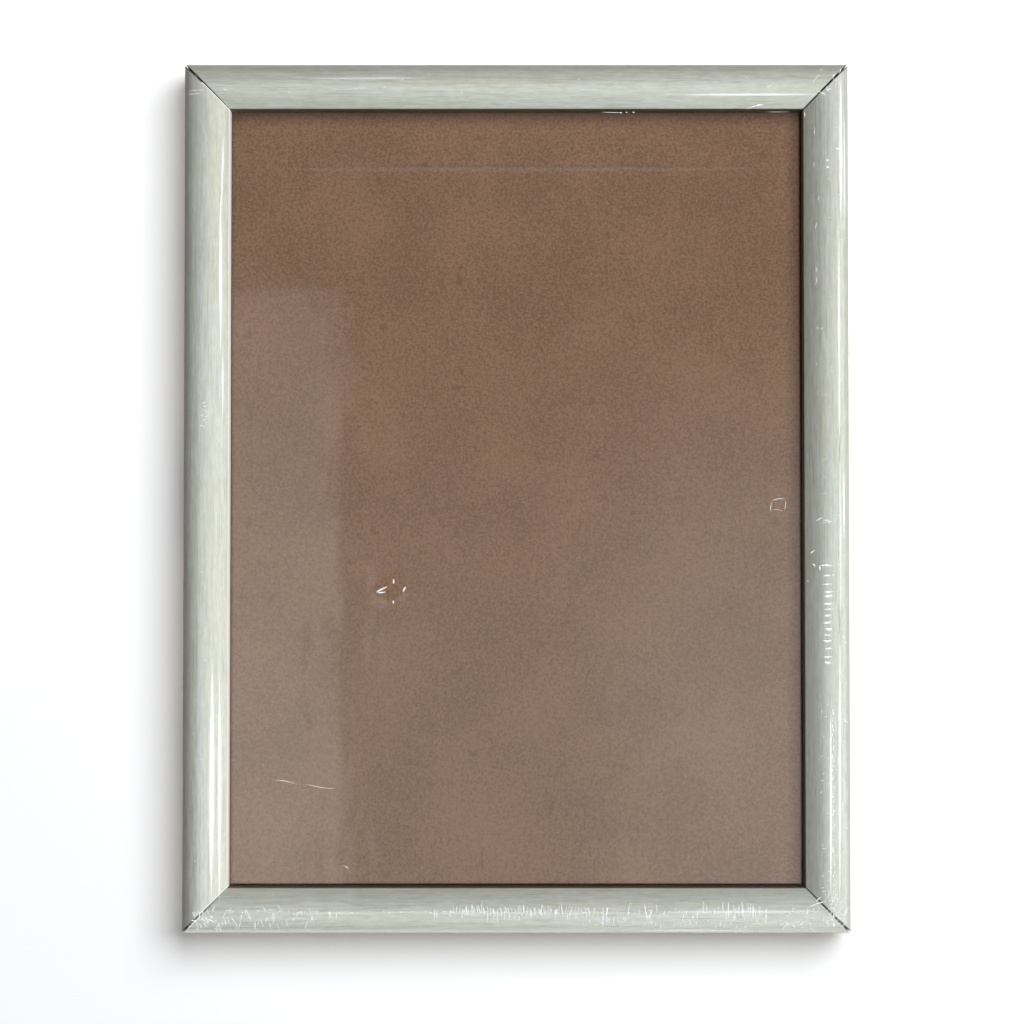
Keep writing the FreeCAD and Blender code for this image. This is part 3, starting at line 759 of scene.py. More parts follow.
def plated_material(name, tint, roughness, dark=0.78, line=500.0):
    """Plated metal on Object coordinates."""
    material, tree, shader, _ = new_material(name)
    made = use_group(
        tree,
        plating_group(),
        Vector=object_place(tree),
        Light=tint,
        Dark=[dark * c for c in tint],
        Roughness=roughness,
        Line_Scale=line,
    )
    feed(
        shader,
        Base_Color=made["Color"],
        Metallic=1.0,
        Roughness=made["Roughness"],
        Normal=bump(made["Height"], 0.12, 0.00005),
    )
    return material


def film_material():
    """Clear film: nearly all goes through, and a thin gloss with soft wrinkles stays.

    Along a band just inside the opening the gloss is turned down, as painted shade over the
    board's dark rim.
    """
    material, tree, shader, end = new_material("shrink_film_finish")
    tree.nodes.remove(shader)
    place = object_place(tree)
    wide = streaks(place, (60, 60, 38))
    fine = streaks(place, (420, 420, 300), detail=3.0)
    normal = bump(wide + fine * 0.04, 0.08, 0.0015)
    shine = {"Color": (0.9, 0.95, 1.0), "Roughness": 0.05, "Normal": normal}
    gloss = out(put(tree, "BsdfAnisotropic", **shine))
    through = out(put(tree, "BsdfTransparent", Color=WHITE))
    edge_on = out(put(tree, "LayerWeight", Blend=0.5, Normal=normal), "Facing")
    facing = calc("POWER", edge_on, 5.0) * 0.05 + 0.035
    x, _, z = axes(place)
    into_x = HALF_WIDTH - FACE - abs(x)
    into_z = HALF_HEIGHT - FACE - abs(z - MIDDLE)
    bend, start, stop = 0.8 * MM, 0.6 * MM, 1.1 * MM  # middle line of the band of painted shade, and its half widths
    apart = abs(smaller(into_x, into_z) - bend)
    facing = facing * span(apart, start, stop, 0.15, 1.0, smooth=True)
    plug(end.inputs[0], mix_shaders(facing, through, gloss))
    return material


def painted_glint_material():
    """White, slightly glowing glints where the film is gathered, a painted highlight; the ends
    fade out, and painted sheens aren't broken.
    """
    material, tree, shader, _ = new_material("film_crease_painted_glint")
    fade = mark(tree, "fade")
    sheen = mark(tree, "sheen")
    place = object_place(tree)
    broken = larger(span(noise(place, 1400.0, 2.0), 0.36, 0.56, 0.55, 1.0), sheen)
    feed(
        shader,
        Base_Color=(0.93, 0.95, 0.95),
        Roughness=0.25,
        Specular_IOR_Level=0.5,
        # The white colour and the glow are painted glints; sheens glow most.
        Emission_Color=(0.93, 0.97, 0.98),
        Emission_Strength=span(sheen, 0.0, 1.0, 0.20, 0.80),
        Alpha=fade * broken,
    )
    return material


# ---------------------------------------------------------------- film shapes


def film_depth(shape, film, x, z):
    """Depth of the film's front at (x, z): the lifted front curve up to the crown, then flat."""
    inward = np.minimum(HALF_WIDTH - np.abs(x), HALF_HEIGHT - np.abs(z - MIDDLE))
    big, small, inset = shape.crown_radius, shape.shoulder_radius, shape.crown_inset
    run, drop = arc_offset(shape)
    meet = inset - run / (big - small) * big

    def rise(radius, off):
        """Height of a lifted arc over its centre."""
        return np.sqrt(np.clip((radius + film.stand_off) ** 2 - off**2, 0, None))

    crown = CROWN + big - rise(big, inset - inward)
    shoulder = CROWN + big - drop - rise(small, small - inward)
    flat = CROWN - film.stand_off
    return np.where(inward > inset, flat, np.where(inward > meet, crown, shoulder))


def loop_round(low_row, low_column, rows, columns, wide):
    """Indices round a block of cells, anticlockwise; the grid's rows hold wide points."""
    up, over = np.arange(rows), np.arange(columns)
    bottom = low_row * wide + low_column + over
    right = (low_row + up) * wide + low_column + columns
    top = (low_row + rows) * wide + low_column + columns - over
    left = (low_row + rows - up) * wide + low_column
    return np.concatenate([bottom, right, top, left])


def stitch(first, start, loops):
    """Quads from one loop of indices on through loops of points whose indices begin at start."""
    count, size = loops.shape[:2]
    index = start + np.arange(count * size).reshape(count, size)
    index = np.concatenate([first[None], index])
    a, b = index[:-1], index[1:]
    return np.stack([a, np.roll(a, -1, 1), np.roll(b, -1, 1), b], -1).reshape(-1, 4)


def film_lines(half, centre, count):
    """Grid lines from -half to half with the vent's cells round centre; and the first cell."""
    low, high = centre - VENT_BLOCK, centre + VENT_BLOCK
    before = max(2, round(count * (low + half) / (2 * half)))
    after = max(2, round(count * (half - centre - VENT_BLOCK) / (2 * half)))
    below = np.linspace(-half, low, before + 1)
    middle = np.linspace(low, high, VENT_CELLS + 1)
    above = np.linspace(high, half, after + 1)
    return np.concatenate([below, middle[1:], above[1:]]), before


def film_front(film, wide, tall, flat):
    """The film's front as a grid with slow waves that die out towards its edges.

    Returns the points, the quads outside the vent's block, and the loops of indices round
    that block and round the whole grid.
    """
    hole_x, hole_z = VENT_CENTRE
    xs, first_x = film_lines(wide, hole_x, 44)
    zs, first_z = film_lines(tall, hole_z - MIDDLE, 58)
    nx, nz = len(xs), len(zs)
    x, z = np.meshgrid(xs, zs)
    calm = np.clip(np.minimum(wide - np.abs(x), tall - np.abs(z)) / STILL_EDGE, 0, 1)
    wave = np.sin(x * 61 + 0.6) * np.sin(z * 43 + 1.1) + 0.6 * np.sin(x * 133 + z * 97)
    points = np.stack([x, flat + calm * film.wave * wave, MIDDLE + z], -1).reshape(-1, 3)
    quads = grid_quads(nz, nx)
    row, column = np.divmod(np.arange(len(quads)), nx - 1)
    in_rows = (row >= first_z) & (row < first_z + VENT_CELLS)
    in_columns = (column >= first_x) & (column < first_x + VENT_CELLS)
    block = loop_round(first_z, first_x, VENT_CELLS, VENT_CELLS, nx)
    return points, quads[~(in_rows & in_columns)], block, loop_round(0, 0, nz - 1, nx - 1, nx)


def vent_rings(film, outline, flat):
    """Rings from the block's outline to the rounded diamond |x/a|^p + |z/b|^p = 1.

    The diamond is the vent's rim, which stands up a little.
    """
    hole_x, hole_z = VENT_CENTRE
    angle = np.arctan2(outline[:, 2] - hole_z, outline[:, 0] - hole_x)
    cosine, sine = np.cos(angle), np.sin(angle)
    radius = (np.abs(cosine) ** VENT_POWER + np.abs(sine) ** VENT_POWER) ** (-1 / VENT_POWER)
    x = hole_x + film.vent_width / 2 * radius * cosine
    z = hole_z + film.vent_height / 2 * radius * sine
    rim = np.stack([x, np.full(len(angle), flat - film.rim_rise), z], -1)
    share = np.linspace(0, 1, 8)[1:, None, None]
    rings = (1 - share) * outline + share * rim
    rings[:, :, 1] = outline[:, 1] + share[:, :, 0] ** 4 * (rim[:, 1] - outline[:, 1])
    return rings


def film_band(shape, film, side_x, side_z):
    """Loops that carry the lifted section round the rectangle, its corners mitred.

    side_x and side_z say where each point of a loop stands, as shares of half the width
    and half the height. The tail goes down the side and turns in behind the rails.
    """
    curve = front_curve(shape, film.stand_off, shape.crown_inset)[::-1]
    lift, turn_in = -film.stand_off, film.turn_in
    across = [lift, lift, lift, lift * 0.9, lift * 0.5, 0.0, turn_in * 0.5, turn_in]
    depth = np.array([-7.0, -3.0, -0.3, 0.0, 0.1, 0.12, 0.1, 0.08]) * MM
    depth[2:] += BACK
    section = np.concatenate([curve, np.stack([across, depth], -1)])
    x = side_x * (HALF_WIDTH - section[:, :1])
    z = MIDDLE + side_z * (HALF_HEIGHT - section[:, :1])
    return np.stack([x, np.broadcast_to(section[:, 1:], x.shape), z], -1)


def film_piece(shape, film, material):
    """The film: a flat front, rings round its vent hole and a band that folds in behind."""
    inset = shape.crown_inset + FRONT_INSET
    wide, tall = HALF_WIDTH - inset, HALF_HEIGHT - inset
    flat = CROWN - film.stand_off
    front, quads, block, edge = film_front(film, wide, tall, flat)
    rings = vent_rings(film, front[block], flat)
    side_x, side_z = front[edge, 0] / wide, (front[edge, 2] - MIDDLE) / tall
    band = film_band(shape, film, side_x, side_z)
    points = np.concatenate([front, rings.reshape(-1, 3), band.reshape(-1, 3)])
    ring_quads = stitch(block, len(front), rings)
    band_quads = stitch(edge, len(front) + rings[..., 0].size, band)
    band_quads = np.roll(band_quads[:, ::-1], 1, axis=1)  # the band grows outwards
    faces = np.concatenate([quads, ring_quads, band_quads])
    used, faces = np.unique(faces, return_inverse=True)
    faces = [faces.reshape(-1, 4)]
    name = "shrink_film"
    return lay_mesh(name, points[used], faces, material, sharp=60.0, closed=False)


# Zones of scattered creases: middle x, middle z, half width, half height, count,
# direction in degrees from +X, spread of it, shortest and longest length, width.
CREASE_ZONES = (
    (2, -243.8, 20, 0.5, 46, 94, 16, 1.6, 4.4, 0.18),
    (26, -244.6, 46, 1.6, 60, 91, 14, 1.6, 5.4, 0.17),
    (45, -247.6, 26, 1.2, 30, 90, 30, 0.8, 2.6, 0.17),
    (66.5, -245, 5.5, 2, 14, 90, 8, 2.6, 6.6, 0.20),
    (-20, -244.3, 70, 0.4, 46, 4, 12, 0.5, 1.8, 0.20),
    (-76, -246, 18, 3, 44, 96, 34, 1, 4, 0.19),
    (-90.5, -247.6, 4.5, 2.6, 16, 120, 60, 0.5, 1.6, 0.28),
    (91.7, -158.6, 0.3, 13.4, 14, 2, 6, 2.2, 3, 0.60),
    (93, -217, 0.22, 34, 46, 90, 5, 0.7, 2.2, 0.28),
    (96.4, -190, 0.8, 58, 50, 80, 50, 0.4, 1.3, 0.20),
    (91.6, -215, 2.2, 32, 36, 20, 70, 0.5, 1.8, 0.17),
    (94, -243.5, 3, 4.6, 44, 55, 40, 1.2, 4, 0.14),
    (84, -245.8, 7, 3, 26, 120, 80, 0.8, 2.6, 0.13),
    (94.3, 0.6, 2.8, 3.4, 8, 60, 40, 1, 2.4, 0.20),
    (-92, -98.6, 0.8, 3.8, 10, 5, 10, 1, 2, 0.22),
    (-91, -247, 4, 3, 10, 135, 25, 1.2, 3, 0.24),
    (64, -250.2, 10, 0.4, 18, 10, 20, 0.4, 0.9, 0.30),
    (-93.5, 0.5, 3, 3, 5, 120, 30, 0.6, 1.4, 0.12),
    (93, -75, 3, 70, 22, 4, 10, 0.8, 3.6, 0.13),
    (88.6, -52, 0.8, 46, 9, 88, 6, 1, 3, 0.14),
    (-93.5, -190, 2.6, 50, 12, 2, 12, 0.8, 2.6, 0.12),
    (0, -0.6, 92, 3.2, 26, 6, 40, 0.6, 2.4, 0.12),
)
# Single creases: from x, z to x, z, width, bend to the left of the way.
CREASES = (
    (-24.1, -242.6, -24.3, -247.4, 0.24, 0.1),
    (-23.2, -243, -23.3, -247, 0.20, -0.1),
    (25.3, -242.2, 25.1, -249.4, 0.26, 0.2),
    (26.6, -242.6, 26.7, -248.8, 0.24, -0.2),
    (73.1, -242.2, 73, -248.6, 0.30, 0.1),
    (37.4, -242.6, 38.2, -247.8, 0.24, 0.4),
    (40.3, -242.8, 38.8, -247.4, 0.22, -0.3),
    (-54.6, -243, -54.9, -247.4, 0.22, 0.1),
    (-52.8, -243.2, -52.9, -247, 0.20, 0.1),
    (88.2, -129.9, 90.2, -128.7, 0.22, 0.3),
    (91, -129.6, 92.8, -130, 0.34, 0.1),
    (93.9, -128.6, 95.8, -128, 0.24, 0.3),
    (88.2, -130.4, 93.8, -130.3, 0.10, 0.2),
    (86.6, -139.4, 88, -138.2, 0.30, 0.2),
    (89.2, -142.9, 93.4, -143, 0.46, 0.3),
    (89.2, -142.6, 89.3, -144.2, 0.34, 0),
    (86.8, -142.4, 87.8, -143.4, 0.30, 0.5),
    (92.6, -145.4, 93.8, -145.9, 0.30, 0.1),
    (85.6, -147.2, 86, -147.4, 0.30, 0),
    (89, -2.4, 92, -3.9, 0.26, 0.2),
    (91.6, -2.3, 93.4, -1.6, 0.26, 0.1),
    (85, -8.4, 85.2, -10.4, 0.20, 0.2),
    (91.5, -22.9, 92.4, -23, 0.50, 0),
    (91.3, -25, 92.6, -25.1, 0.45, 0),
    (94.2, -19.5, 95.6, -19.5, 0.45, 0),
    (89.3, 3.4, 91, 4.2, 0.16, 0.3),
    (88.2, 0.6, 90.4, 2.6, 0.16, 0.4),
    (87.6, -0.8, 89, 1.6, 0.14, 0.3),
    (-41.4, -150.7, -37.8, -148.9, 0.46, 0.1),
    (-41, -150.8, -38.3, -150.5, 0.40, 0),
    (-36.1, -146.6, -36.1, -148.2, 0.40, 0),
    (-33.5, -150.6, -32.5, -148.8, 0.44, 0),
    (-36.2, -152.9, -36.2, -154.1, 0.38, 0),
    (67.9, -8, 72.6, -6.6, 0.24, 0.4),
    (70.5, -6.9, 73.4, -6.5, 0.38, 0.2),
    (24.9, -8.7, 31.5, -8.8, 0.12, 0),
    (30.6, -8.8, 31.2, -8.9, 0.34, 0),
    (32.3, -8.7, 32.9, -8.7, 0.26, 0),
    (34.3, -8.7, 35, -8.7, 0.24, 0),
    (75, -123.8, 79.4, -123.2, 0.16, 0.4),
    (79.2, -123.4, 78.8, -126.6, 0.12, 0.3),
    (75.3, -124, 75.1, -127.2, 0.14, -0.3),
    (75.4, -126.4, 78.6, -126.8, 0.10, 0.3),
    (-71.5, -205.8, -64, -207.2, 0.14, 0.5),
    (-62.5, -206.6, -52.5, -208.2, 0.12, -0.4),
    (73.6, -8.6, 81.1, -8.6, 0.08, 0),
    (95.7, -187.6, 98, -189.4, 0.26, 0.1),
    (93.4, -202.4, 96.2, -203.6, 0.26, 0.1),
    (96, -219.4, 98, -220.4, 0.24, 0.1),
    (-51, -230.6, -48.9, -232, 0.18, 0.2),
    (-98, -2.4, -90, -2.2, 0.12, 0.2),
    (-98, -3.4, -92.6, -3.1, 0.12, 0.1),
    (85.6, -243, 91.2, -241.2, 0.30, 0.3),
    (85.4, -243, 84.9, -245.2, 0.28, 0.2),
    (87.6, -241.6, 89.4, -239.8, 0.28, 0.1),
    (77.4, -250.2, 80.4, -247.2, 0.24, 0.2),
    (80.4, -247.4, 82.2, -249, 0.28, -0.2),
    (82.2, -249, 85.6, -246.6, 0.28, 0.2),
    (85.4, -249, 88.8, -251, 0.28, 0.3),
)
# Painted sheens along the rails, laid as shallow folds: from x, z to x, z, width, bend, strength.
PAINTED_SHEENS = (
    (95.9, 2.4, 95.8, -42, 1.1, 0.1, 0.85),
    (95.3, -38, 95.2, -112, 1, 0, 0.50),
    (95.4, -104, 95.4, -166, 0.9, 0, 0.35),
    (95.2, -156, 94.8, -244, 1.1, 0, 0.55),
    (97.1, -6, 97.1, -46, 0.7, 0, 0.55),
    (96.5, -114, 96.5, -136, 0.7, 0, 0.70),
    (92.4, -182, 92.2, -243, 1, 0, 0.60),
    (-86.6, -14, -87.3, -40, 0.9, 0.1, 0.40),
    (-87.4, -32, -87.2, -82, 1, 0, 0.80),
    (-86.6, -78, -86.6, -102, 0.9, 0, 0.40),
    (-89.4, -170, -89.5, -242, 1.9, 0, 0.85),
    (-87.2, -172, -87.1, -244, 1.4, 0, 0.60),
    (46, -3.5, 92.4, -3.4, 1.1, 0, 0.42),
    (-64, 1.4, -24, 1.4, 0.9, 0, 0.20),
    (42, -244.3, 92, -244.2, 1.3, 0, 0.24),
    (34, -249.9, 72, -249.9, 0.9, 0, 0.30),
    (-84, -244.6, 44, -244.6, 1.4, 0, 0.12),
    (-86, -25.6, 86, -25.5, 2.4, 0, 0.024),
)


def scattered(seed):
    """Rows like those of CREASES for all zones, spread evenly along each zone."""
    pick = np.random.default_rng(seed)
    rows = []
    for x, z, half_x, half_z, count, angle, spread, short, long, width in CREASE_ZONES:
        turn = np.radians(angle + spread * pick.uniform(-1, 1, count))
        way = np.stack([np.cos(turn), np.sin(turn)], -1)
        reach = pick.uniform(short, long, count)[:, None] * way / 2
        even = (2 * np.arange(count) + 1 + 0.7 * pick.uniform(-1, 1, count)) / count - 1
        loose = pick.uniform(-1, 1, count)
        places = (even, loose) if half_x > half_z else (loose, even)
        middle = np.stack([x + half_x * places[0], z + half_z * places[1]], -1)
        wide = width * pick.uniform(0.6, 1.25, count)
        bend = pick.uniform(-0.3, 0.3, count)
        rows.append(np.column_stack([middle - reach, middle + reach, wide, bend]))
    return np.concatenate(rows)


def crease_and_sheen_piece(shape, film, material):
    """Creases and painted sheens as closed lens-shaped ridges that lie on the film.

    A ridge's middle line is from + t (to - from) + 4 t (1 - t) bend, and its width is the
    row's width times sin(pi t) ^ 0.6. Its crest stands up by 0.4 of half that width, a
    sheen's by 0.1. A sheen is a painted highlight and shows along its middle line only, as
    strongly as its row says.
    """
    # folds holds the painted sheens.
    folds, steps = np.array(PAINTED_SHEENS), 13
    creases = np.concatenate([folds[:, :6], np.array(CREASES), scattered(film.seed)]) * MM
    count = len(creases)
    is_sheen = np.arange(count) < len(folds)
    strength = np.where(is_sheen, np.resize(folds[:, 6], count), 1.0)
    start, finish, wide, bend = creases[:, 0:2], creases[:, 2:4], creases[:, 4], creases[:, 5]
    way = finish - start
    left = np.stack([-way[:, 1], way[:, 0]], -1) / np.linalg.norm(way, axis=1)[:, None]
    t = np.linspace(0, 1, steps)
    line = start[:, None] + t[None, :, None] * way[:, None]
    line = line + (4 * t * (1 - t))[None, :, None] * bend[:, None, None] * left[:, None]
    half = wide[:, None] * np.clip(np.sin(math.pi * t), 0.02, None) ** 0.6 / 2
    offset = half[:, :, None, None] * np.array([-1.0, 0.0, 1.0])[:, None]
    spots = line[:, :, None] + offset * left[:, None, None]
    limit_x, limit_z = HALF_WIDTH - CREASE_LIMIT, HALF_HEIGHT - CREASE_LIMIT
    x = np.clip(spots[..., 0], -limit_x, limit_x)
    z = MIDDLE + np.clip(spots[..., 1] - MIDDLE, -limit_z, limit_z)
    only_middle = np.array([0.0, 1.0, 0.0])
    crest = (np.where(is_sheen, 0.1, 0.4)[:, None] * half)[:, :, None] * only_middle
    y = film_depth(shape, film, x, z) - CREASE_LIFT - crest
    points = np.stack([x, y, z], -1).reshape(-1, 3)
    first = 3 * steps * np.arange(count)[:, None, None]
    faces = (grid_quads(steps, 3, wrap=True) + first).reshape(-1, 4)
    last = 3 * steps - 3
    caps = (np.array([[2, 1, 0], [last, last + 1, last + 2]]) + first).reshape(-1, 3)
    fade = (np.clip(np.sin(math.pi * t), 0, 1) ** 0.5)[None, :, None] * strength[:, None, None]
    fade = fade * np.where(is_sheen[:, None], only_middle, 1.0)[:, None]
    marks = {"fade": fade, "sheen": np.broadcast_to(is_sheen[:, None, None], x.shape)}
    return lay_mesh("film_creases_and_painted_sheens", points, [faces, caps], material, marks=marks)


# ---------------------------------------------------------------- stage


def lamp(name, position, size, watts, lit):
    """A square area lamp aimed at the middle of the opening; it lights only some pieces.

    It isn't seen in reflections, which show the world's room instead.
    """
    data = bpy.data.lights.new(name, "AREA")
    data.shape, data.size, data.energy = "SQUARE", size, watts
    piece = add_object(name, data)
    piece.location = position
    piece.visible_glossy = False
    point_along(piece, Vector((0, 0, MIDDLE)) - Vector(position))
    receivers = bpy.data.collections.new(name + "_receivers")
    for receiver in lit:
        receivers.objects.link(receiver)
    piece.light_linking.receiver_collection = receivers


def stage_sheet(name, low, high, flat, material):
    """A flat stage sheet: a grid over two axes at a fixed place on the third.

    flat is ("y", value) with faces towards -Y, or ("z", value) with faces towards +Z.
    """
    (axis, value), cells = flat, 5
    lines = (np.linspace(start, stop, cells) for start, stop in zip(low, high))
    u, v = np.meshgrid(*lines)
    level = np.full(u.shape, value)
    points = np.stack([u, level, v] if axis == "y" else [u, v, level], -1).reshape(-1, 3)
    mesh = bpy.data.meshes.new(name)
    mesh.from_pydata(points.tolist(), [], grid_quads(cells, cells).tolist())
    mesh.materials.append(material)
    piece = add_object(name, mesh)
    piece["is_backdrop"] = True


def wall_material(studio):
    """Pale sheet that only the camera sees, and only from its front; white away from the frame.

    Inside the frame's outline nothing glows, and behind the mitres the wall is painted near
    black, a painted shade, so open joints stay dark.
    """
    material, tree, shader, end = new_material("pale_wall")
    spot = object_place(tree)
    x, _, z = axes(spot)
    start, stop = 0.6 * MM, 1.3 * MM  # outside the outline, where the glow sets in
    beside = span(abs(x), HALF_WIDTH + start, HALF_WIDTH + stop)
    up = abs(z - MIDDLE)
    above = span(up, HALF_HEIGHT + start, HALF_HEIGHT + stop)
    outside = larger(beside, above)
    apart = abs(abs(x) - HALF_WIDTH - (up - HALF_HEIGHT))
    dark, pale = 0.5 * MM, 0.9 * MM  # from the mitre's line
    clear = larger(outside, span(apart, dark, pale))
    # Painted shade: near black behind the mitres.
    ground = blend(clear, grey(0.03), studio.wall_colour)
    feed(shader, Base_Color=ground, Roughness=0.95, Specular_IOR_Level=0.0)
    geometry, path = put(tree, "NewGeometry"), put(tree, "LightPath")
    glow = outside * out(path, "Is Camera Ray")
    away = out(put(tree, "VectorMath", {"operation": "LENGTH"}, Vector=spot), "Value")
    strength = span(away, 0.40, 1.0, 0.10, 1.1, smooth=True)
    feed(shader, Emission_Color=blend(glow, BLACK, WHITE), Emission_Strength=strength)
    seen = (1.0 - out(geometry, "Backfacing")) * out(path, "Is Camera Ray")
    through = out(put(tree, "BsdfTransparent"))
    plug(end.inputs[0], mix_shaders(seen, through, out(shader)))
    return material


def grey(level):
    """Red, green and blue all at one level."""
    return (level, level, level)


def world_light(studio):
    """White for the camera, even ambient light, and a room with a shaped side for reflections.

    The shaped side is round -Y. There the slopes x / -y and z / -y of the direction set a dim
    left, a bright wide window at the right, a darker top and one tall pale panel, whose mirror
    image is the lit block in the glass. Next to it, beside the frame, the room is lit by side.
    """
    world = bpy.data.worlds.new("studio_world")
    bpy.context.scene.world = world
    world.use_nodes = True
    world.cycles.sampling_method = "NONE"
    tree = world.node_tree
    tree.nodes.clear()
    end = put(tree, "OutputWorld")

    def turn(value, start, stop, first, second, most=1.0):
        """First colour up to start, then smoothly towards the second until stop."""
        return blend(span(value, start, stop, 0.0, most, smooth=True), first, second)

    x, y, z = axes(out(put(tree, "TexCoord"), "Generated"))
    ahead = larger(y * -1.0, 0.05)
    slope_x, slope_z = x / ahead, z / ahead
    low = span(slope_z, 0.12, -0.06, smooth=True)
    corner = low * span(slope_x, 0.0, 0.08, smooth=True)
    front = blend(low, (0.16, 0.16, 0.17), (0.66, 0.74, 0.76))
    front = blend(corner, front, (1.20, 1.30, 1.35))
    across = span(slope_x, -0.0582, -0.0612) * span(slope_x, -0.22, -0.2)
    up = span(slope_z, 0.111, 0.107) * span(slope_z, -0.3, -0.28)
    panel = blend(low, (0.80, 0.78, 0.76), (1.65, 1.66, 1.62))
    front = blend(across * up, front, panel)
    front = turn(slope_z, 0.20, 0.45, front, (0.45, 0.46, 0.46), 0.35)
    left = turn(slope_x, -0.9, -2.2, grey(0.20), grey(0.09))
    front = turn(slope_x, -0.16, -0.32, front, left)
    right = span(slope_x, 0.15, 0.66, smooth=True)
    right = right * span(slope_x, 5.0, 1.4, 0.7, 1.0, smooth=True)
    below_top = 1.0 - span(slope_z, 0.5, 1.1, 0.0, 0.75, smooth=True)
    window = turn(slope_x, 0.5, 1.5, (0.95, 0.95, 0.94), (1.36, 1.36, 1.33))
    front = blend(right * below_top, front, window)
    beside = turn(z, 0.2, 0.7, grey(0.10), (0.32, 0.32, 0.31))
    beside = turn(x, 0.2, 0.7, beside, (0.90, 0.90, 0.88))
    beside = turn(z, -0.3, -0.8, beside, (1.14, 1.21, 1.23))
    room = turn(y, 0.02, -0.15, beside, front)
    room = turn(y, 0.80, 0.97, room, WHITE)
    path = outputs(put(tree, "LightPath"))
    mirrored = larger(path["Is Glossy Ray"], path["Is Transmission Ray"])
    seen = blend(mirrored, grey(studio.ambient), room)
    seen = blend(path["Is Camera Ray"], seen, WHITE)
    background = put(tree, "Background", Color=seen, Strength=1.0)
    plug(end.inputs[0], out(background))


# ---------------------------------------------------------------- operators


def settings():
    """The clip frame's settings on the current scene."""
    return bpy.context.scene.clip_frame


def dress(nodes, material):
    """Gives CAD nodes a material in every slot."""
    for name in nodes:
        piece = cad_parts[name]
        if not piece.material_slots:
            piece.data.materials.append(material)
        for slot in piece.material_slots:
            slot.material = material


class PlaceCamera(bpy.types.Operator):
    """Puts the camera in front of the frame, a little below its middle"""

    bl_idname = "clipframe.place_camera"
    bl_label = "Place camera"

    def execute(self, context):
        view = settings().view
        data = bpy.data.cameras.new("view")
        data.lens, data.sensor_width = view.lens, 36.0
        data.clip_start, data.clip_end = 0.01, 50.0
        camera = add_object("view", data)
        back = Vector((0, -math.cos(view.elevation), math.sin(view.elevation)))
        camera.location = Vector(view.aim) + view.distance * back
        point_along(camera, -back)
        context.scene.camera = camera
        return {"FINISHED"}


class BuildStage(bpy.types.Operator):
    """Makes the pale wall and floor and the world"""

    bl_idname = "clipframe.build_stage"
    bl_label = "Stage"

    def execute(self, context):
        studio = settings().studio
        context.scene.view_settings.view_transform = "Standard"
        floor = MIDDLE - HALF_HEIGHT - studio.floor_drop
        paint = wall_material(studio)
        reach = 2.0  # metres each way
        stage_sheet("wall", (-reach, floor), (reach, reach), ("y", studio.wall_gap), paint)
        stage_sheet("floor", (-reach, -reach), (reach, reach), ("z", floor), paint)
        world_light(studio)
        return {"FINISHED"}


class WrapRails(bpy.types.Operator):
    """Makes the four rails' printed wraps"""

    bl_idname = "clipframe.wrap_rails"
    bl_label = "Foil wraps"

    def execute(self, context):
        shape = settings().moulding
        material = foil_material(shape)
        for rail in RAILS:
            foil_piece(rail, shape, material)
        return {"FINISHED"}


class FinishWood(bpy.types.Operator):
    """Gives the rails' wood its raw fibre finish"""

    bl_idname = "clipframe.finish_wood"
    bl_label = "Rail wood"

    def execute(self, context):
        dress([f"{rail}_rail" for rail in RAILS], wood_material(settings().moulding))
        return {"FINISHED"}


class FinishSheets(bpy.types.Operator):
    """Gives the glass pane and the backing board their finishes"""

    bl_idname = "clipframe.finish_sheets"
    bl_label = "Glass and board"

    def execute(self, context):
        sheets = settings().sheets
        dress(["glass_pane"], glass_material(sheets))
        dress(["backing_board"], board_material(sheets))
        return {"FINISHED"}


class FinishFixings(bpy.types.Operator):
    """Gives clips, screws, hangers and nails their plated finishes"""

    bl_idname = "clipframe.finish_fixings"
    bl_label = "Clips and hangers"

    def execute(self, context):
        metal = settings().metal
        screw = [0.93 * c for c in metal.zinc]
        dress(CLIPS, plated_material("zinc_steel_finish", metal.zinc, 0.34))
        dress(["clip_screws"], plated_material("zinc_screw_finish", screw, 0.28, line=900.0))
        brass = plated_material("brass_plate_finish", metal.brass, 0.26, dark=0.7)
        dress(["top_hanger", "side_hanger"], brass)
        bright = plated_material("bright_steel_finish", metal.steel, 0.24)
        dress(["hanger_nails", "corner_v_nails"], bright)
        return {"FINISHED"}


class WrapFilm(bpy.types.Operator):
    """Makes the shrink film with its vent hole and its creases, with painted glints and sheens"""

    bl_idname = "clipframe.wrap_film"
    bl_label = "Shrink film"

    def execute(self, context):
        chosen = settings()
        film_piece(chosen.moulding, chosen.film, film_material())
        crease_and_sheen_piece(chosen.moulding, chosen.film, painted_glint_material())
        return {"FINISHED"}


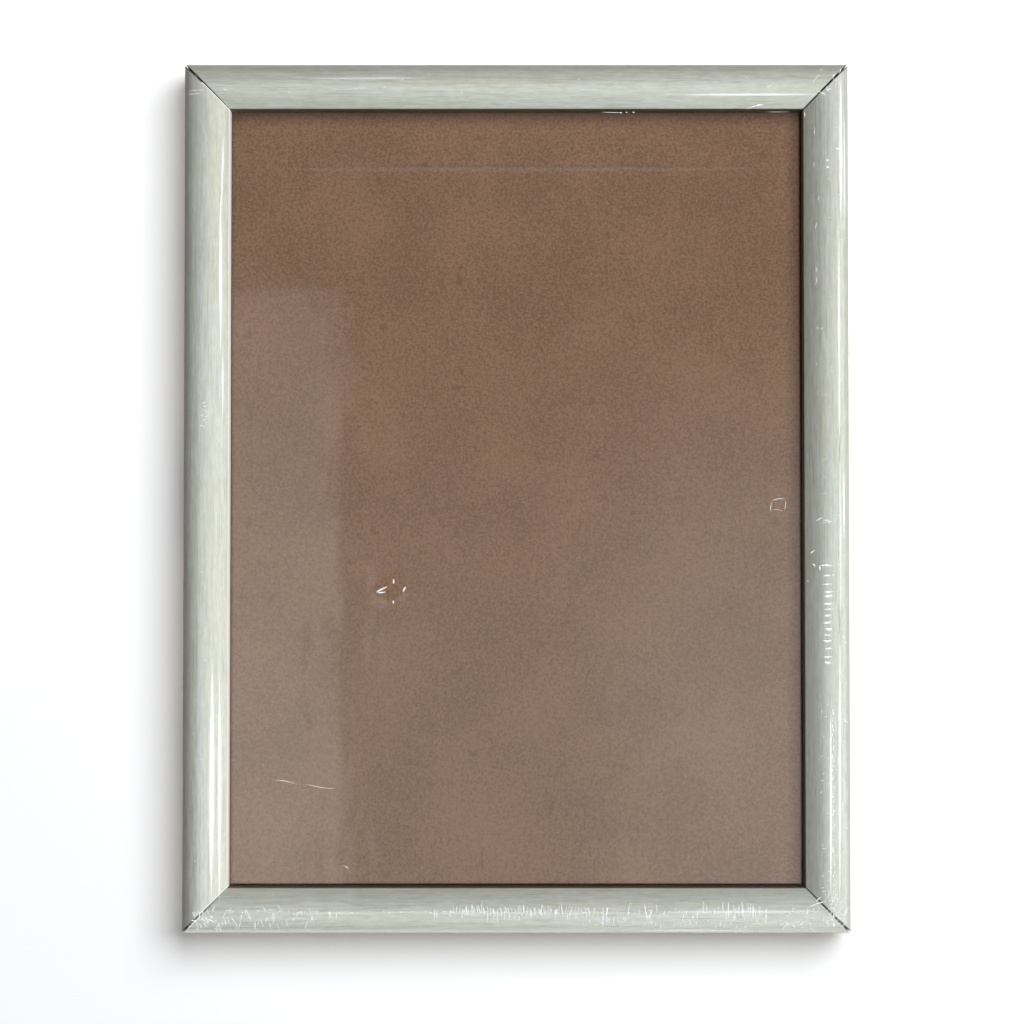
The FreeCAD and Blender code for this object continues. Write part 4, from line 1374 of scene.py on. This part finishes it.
class PlaceLamps(bpy.types.Operator):
    """Lights the object and, apart from it, the wall and floor"""

    bl_idname = "clipframe.place_lamps"
    bl_label = "Lamps"

    def execute(self, context):
        studio = settings().studio
        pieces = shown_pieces()
        wraps = [bpy.data.objects[f"{rail}_foil_wrap"] for rail in RAILS]
        surfaces = [bpy.data.objects["wall"], bpy.data.objects["floor"]]
        lamp("front_soft", (0.30, -1.50, 0.14), 1.5, studio.key, pieces)
        lamp("wall_soft", (0.62, -1.40, 0.50), 1.3, studio.wall_lamp, surfaces)
        lamp("side_right", (1.15, -0.82, -0.20), 0.8, studio.side, wraps)
        lamp("side_left", (-1.1, 0.18, -0.05), 0.7, studio.side_left, pieces)
        lamp("top_back", (0.1, 0.45, 1.1), 0.8, studio.top_back, pieces)
        lamp("back_right", (0.45, 1.2, 0.25), 0.7, studio.back_lamp, pieces)
        lamp("back_left", (-0.5, 1.2, -0.1), 0.7, studio.back_lamp * 0.5, pieces)
        return {"FINISHED"}


class ClipFramePanel(bpy.types.Panel):
    """Lists the steps and their settings"""

    bl_idname = "CLIPFRAME_PT_steps"
    bl_label = "Clip frame"
    bl_space_type = "VIEW_3D"
    bl_region_type = "UI"
    bl_category = "Clip frame"

    def draw(self, context):
        chosen = context.scene.clip_frame
        for operator, group in STEPS.items():
            box = self.layout.box()
            box.operator(operator.bl_idname)
            if group:
                part = getattr(chosen, group)
                for name in part.__annotations__:
                    box.prop(part, name)


# Each step with the settings that the panel lists under it.
STEPS = {
    PlaceCamera: "view",
    BuildStage: "studio",
    WrapRails: "moulding",
    FinishWood: None,
    FinishSheets: "sheets",
    FinishFixings: "metal",
    WrapFilm: "film",
    PlaceLamps: None,
}
GROUPS = (
    ViewSettings,
    StudioSettings,
    MouldingSettings,
    SheetSettings,
    MetalSettings,
    FilmSettings,
    ClipFrameSettings,
)


def register():
    for kind in (*GROUPS, *STEPS, ClipFramePanel):
        bpy.utils.register_class(kind)
    bpy.types.Scene.clip_frame = PointerProperty(type=ClipFrameSettings)


def unregister():
    del bpy.types.Scene.clip_frame
    for kind in reversed((*GROUPS, *STEPS, ClipFramePanel)):
        bpy.utils.unregister_class(kind)


def main():
    register()
    bpy.ops.clipframe.place_camera()
    bpy.ops.clipframe.build_stage()
    bpy.ops.clipframe.wrap_rails()
    bpy.ops.clipframe.finish_wood()
    bpy.ops.clipframe.finish_sheets()
    bpy.ops.clipframe.finish_fixings()
    bpy.ops.clipframe.wrap_film()
    bpy.ops.clipframe.place_lamps()


if __name__ == "__main__":
    main()
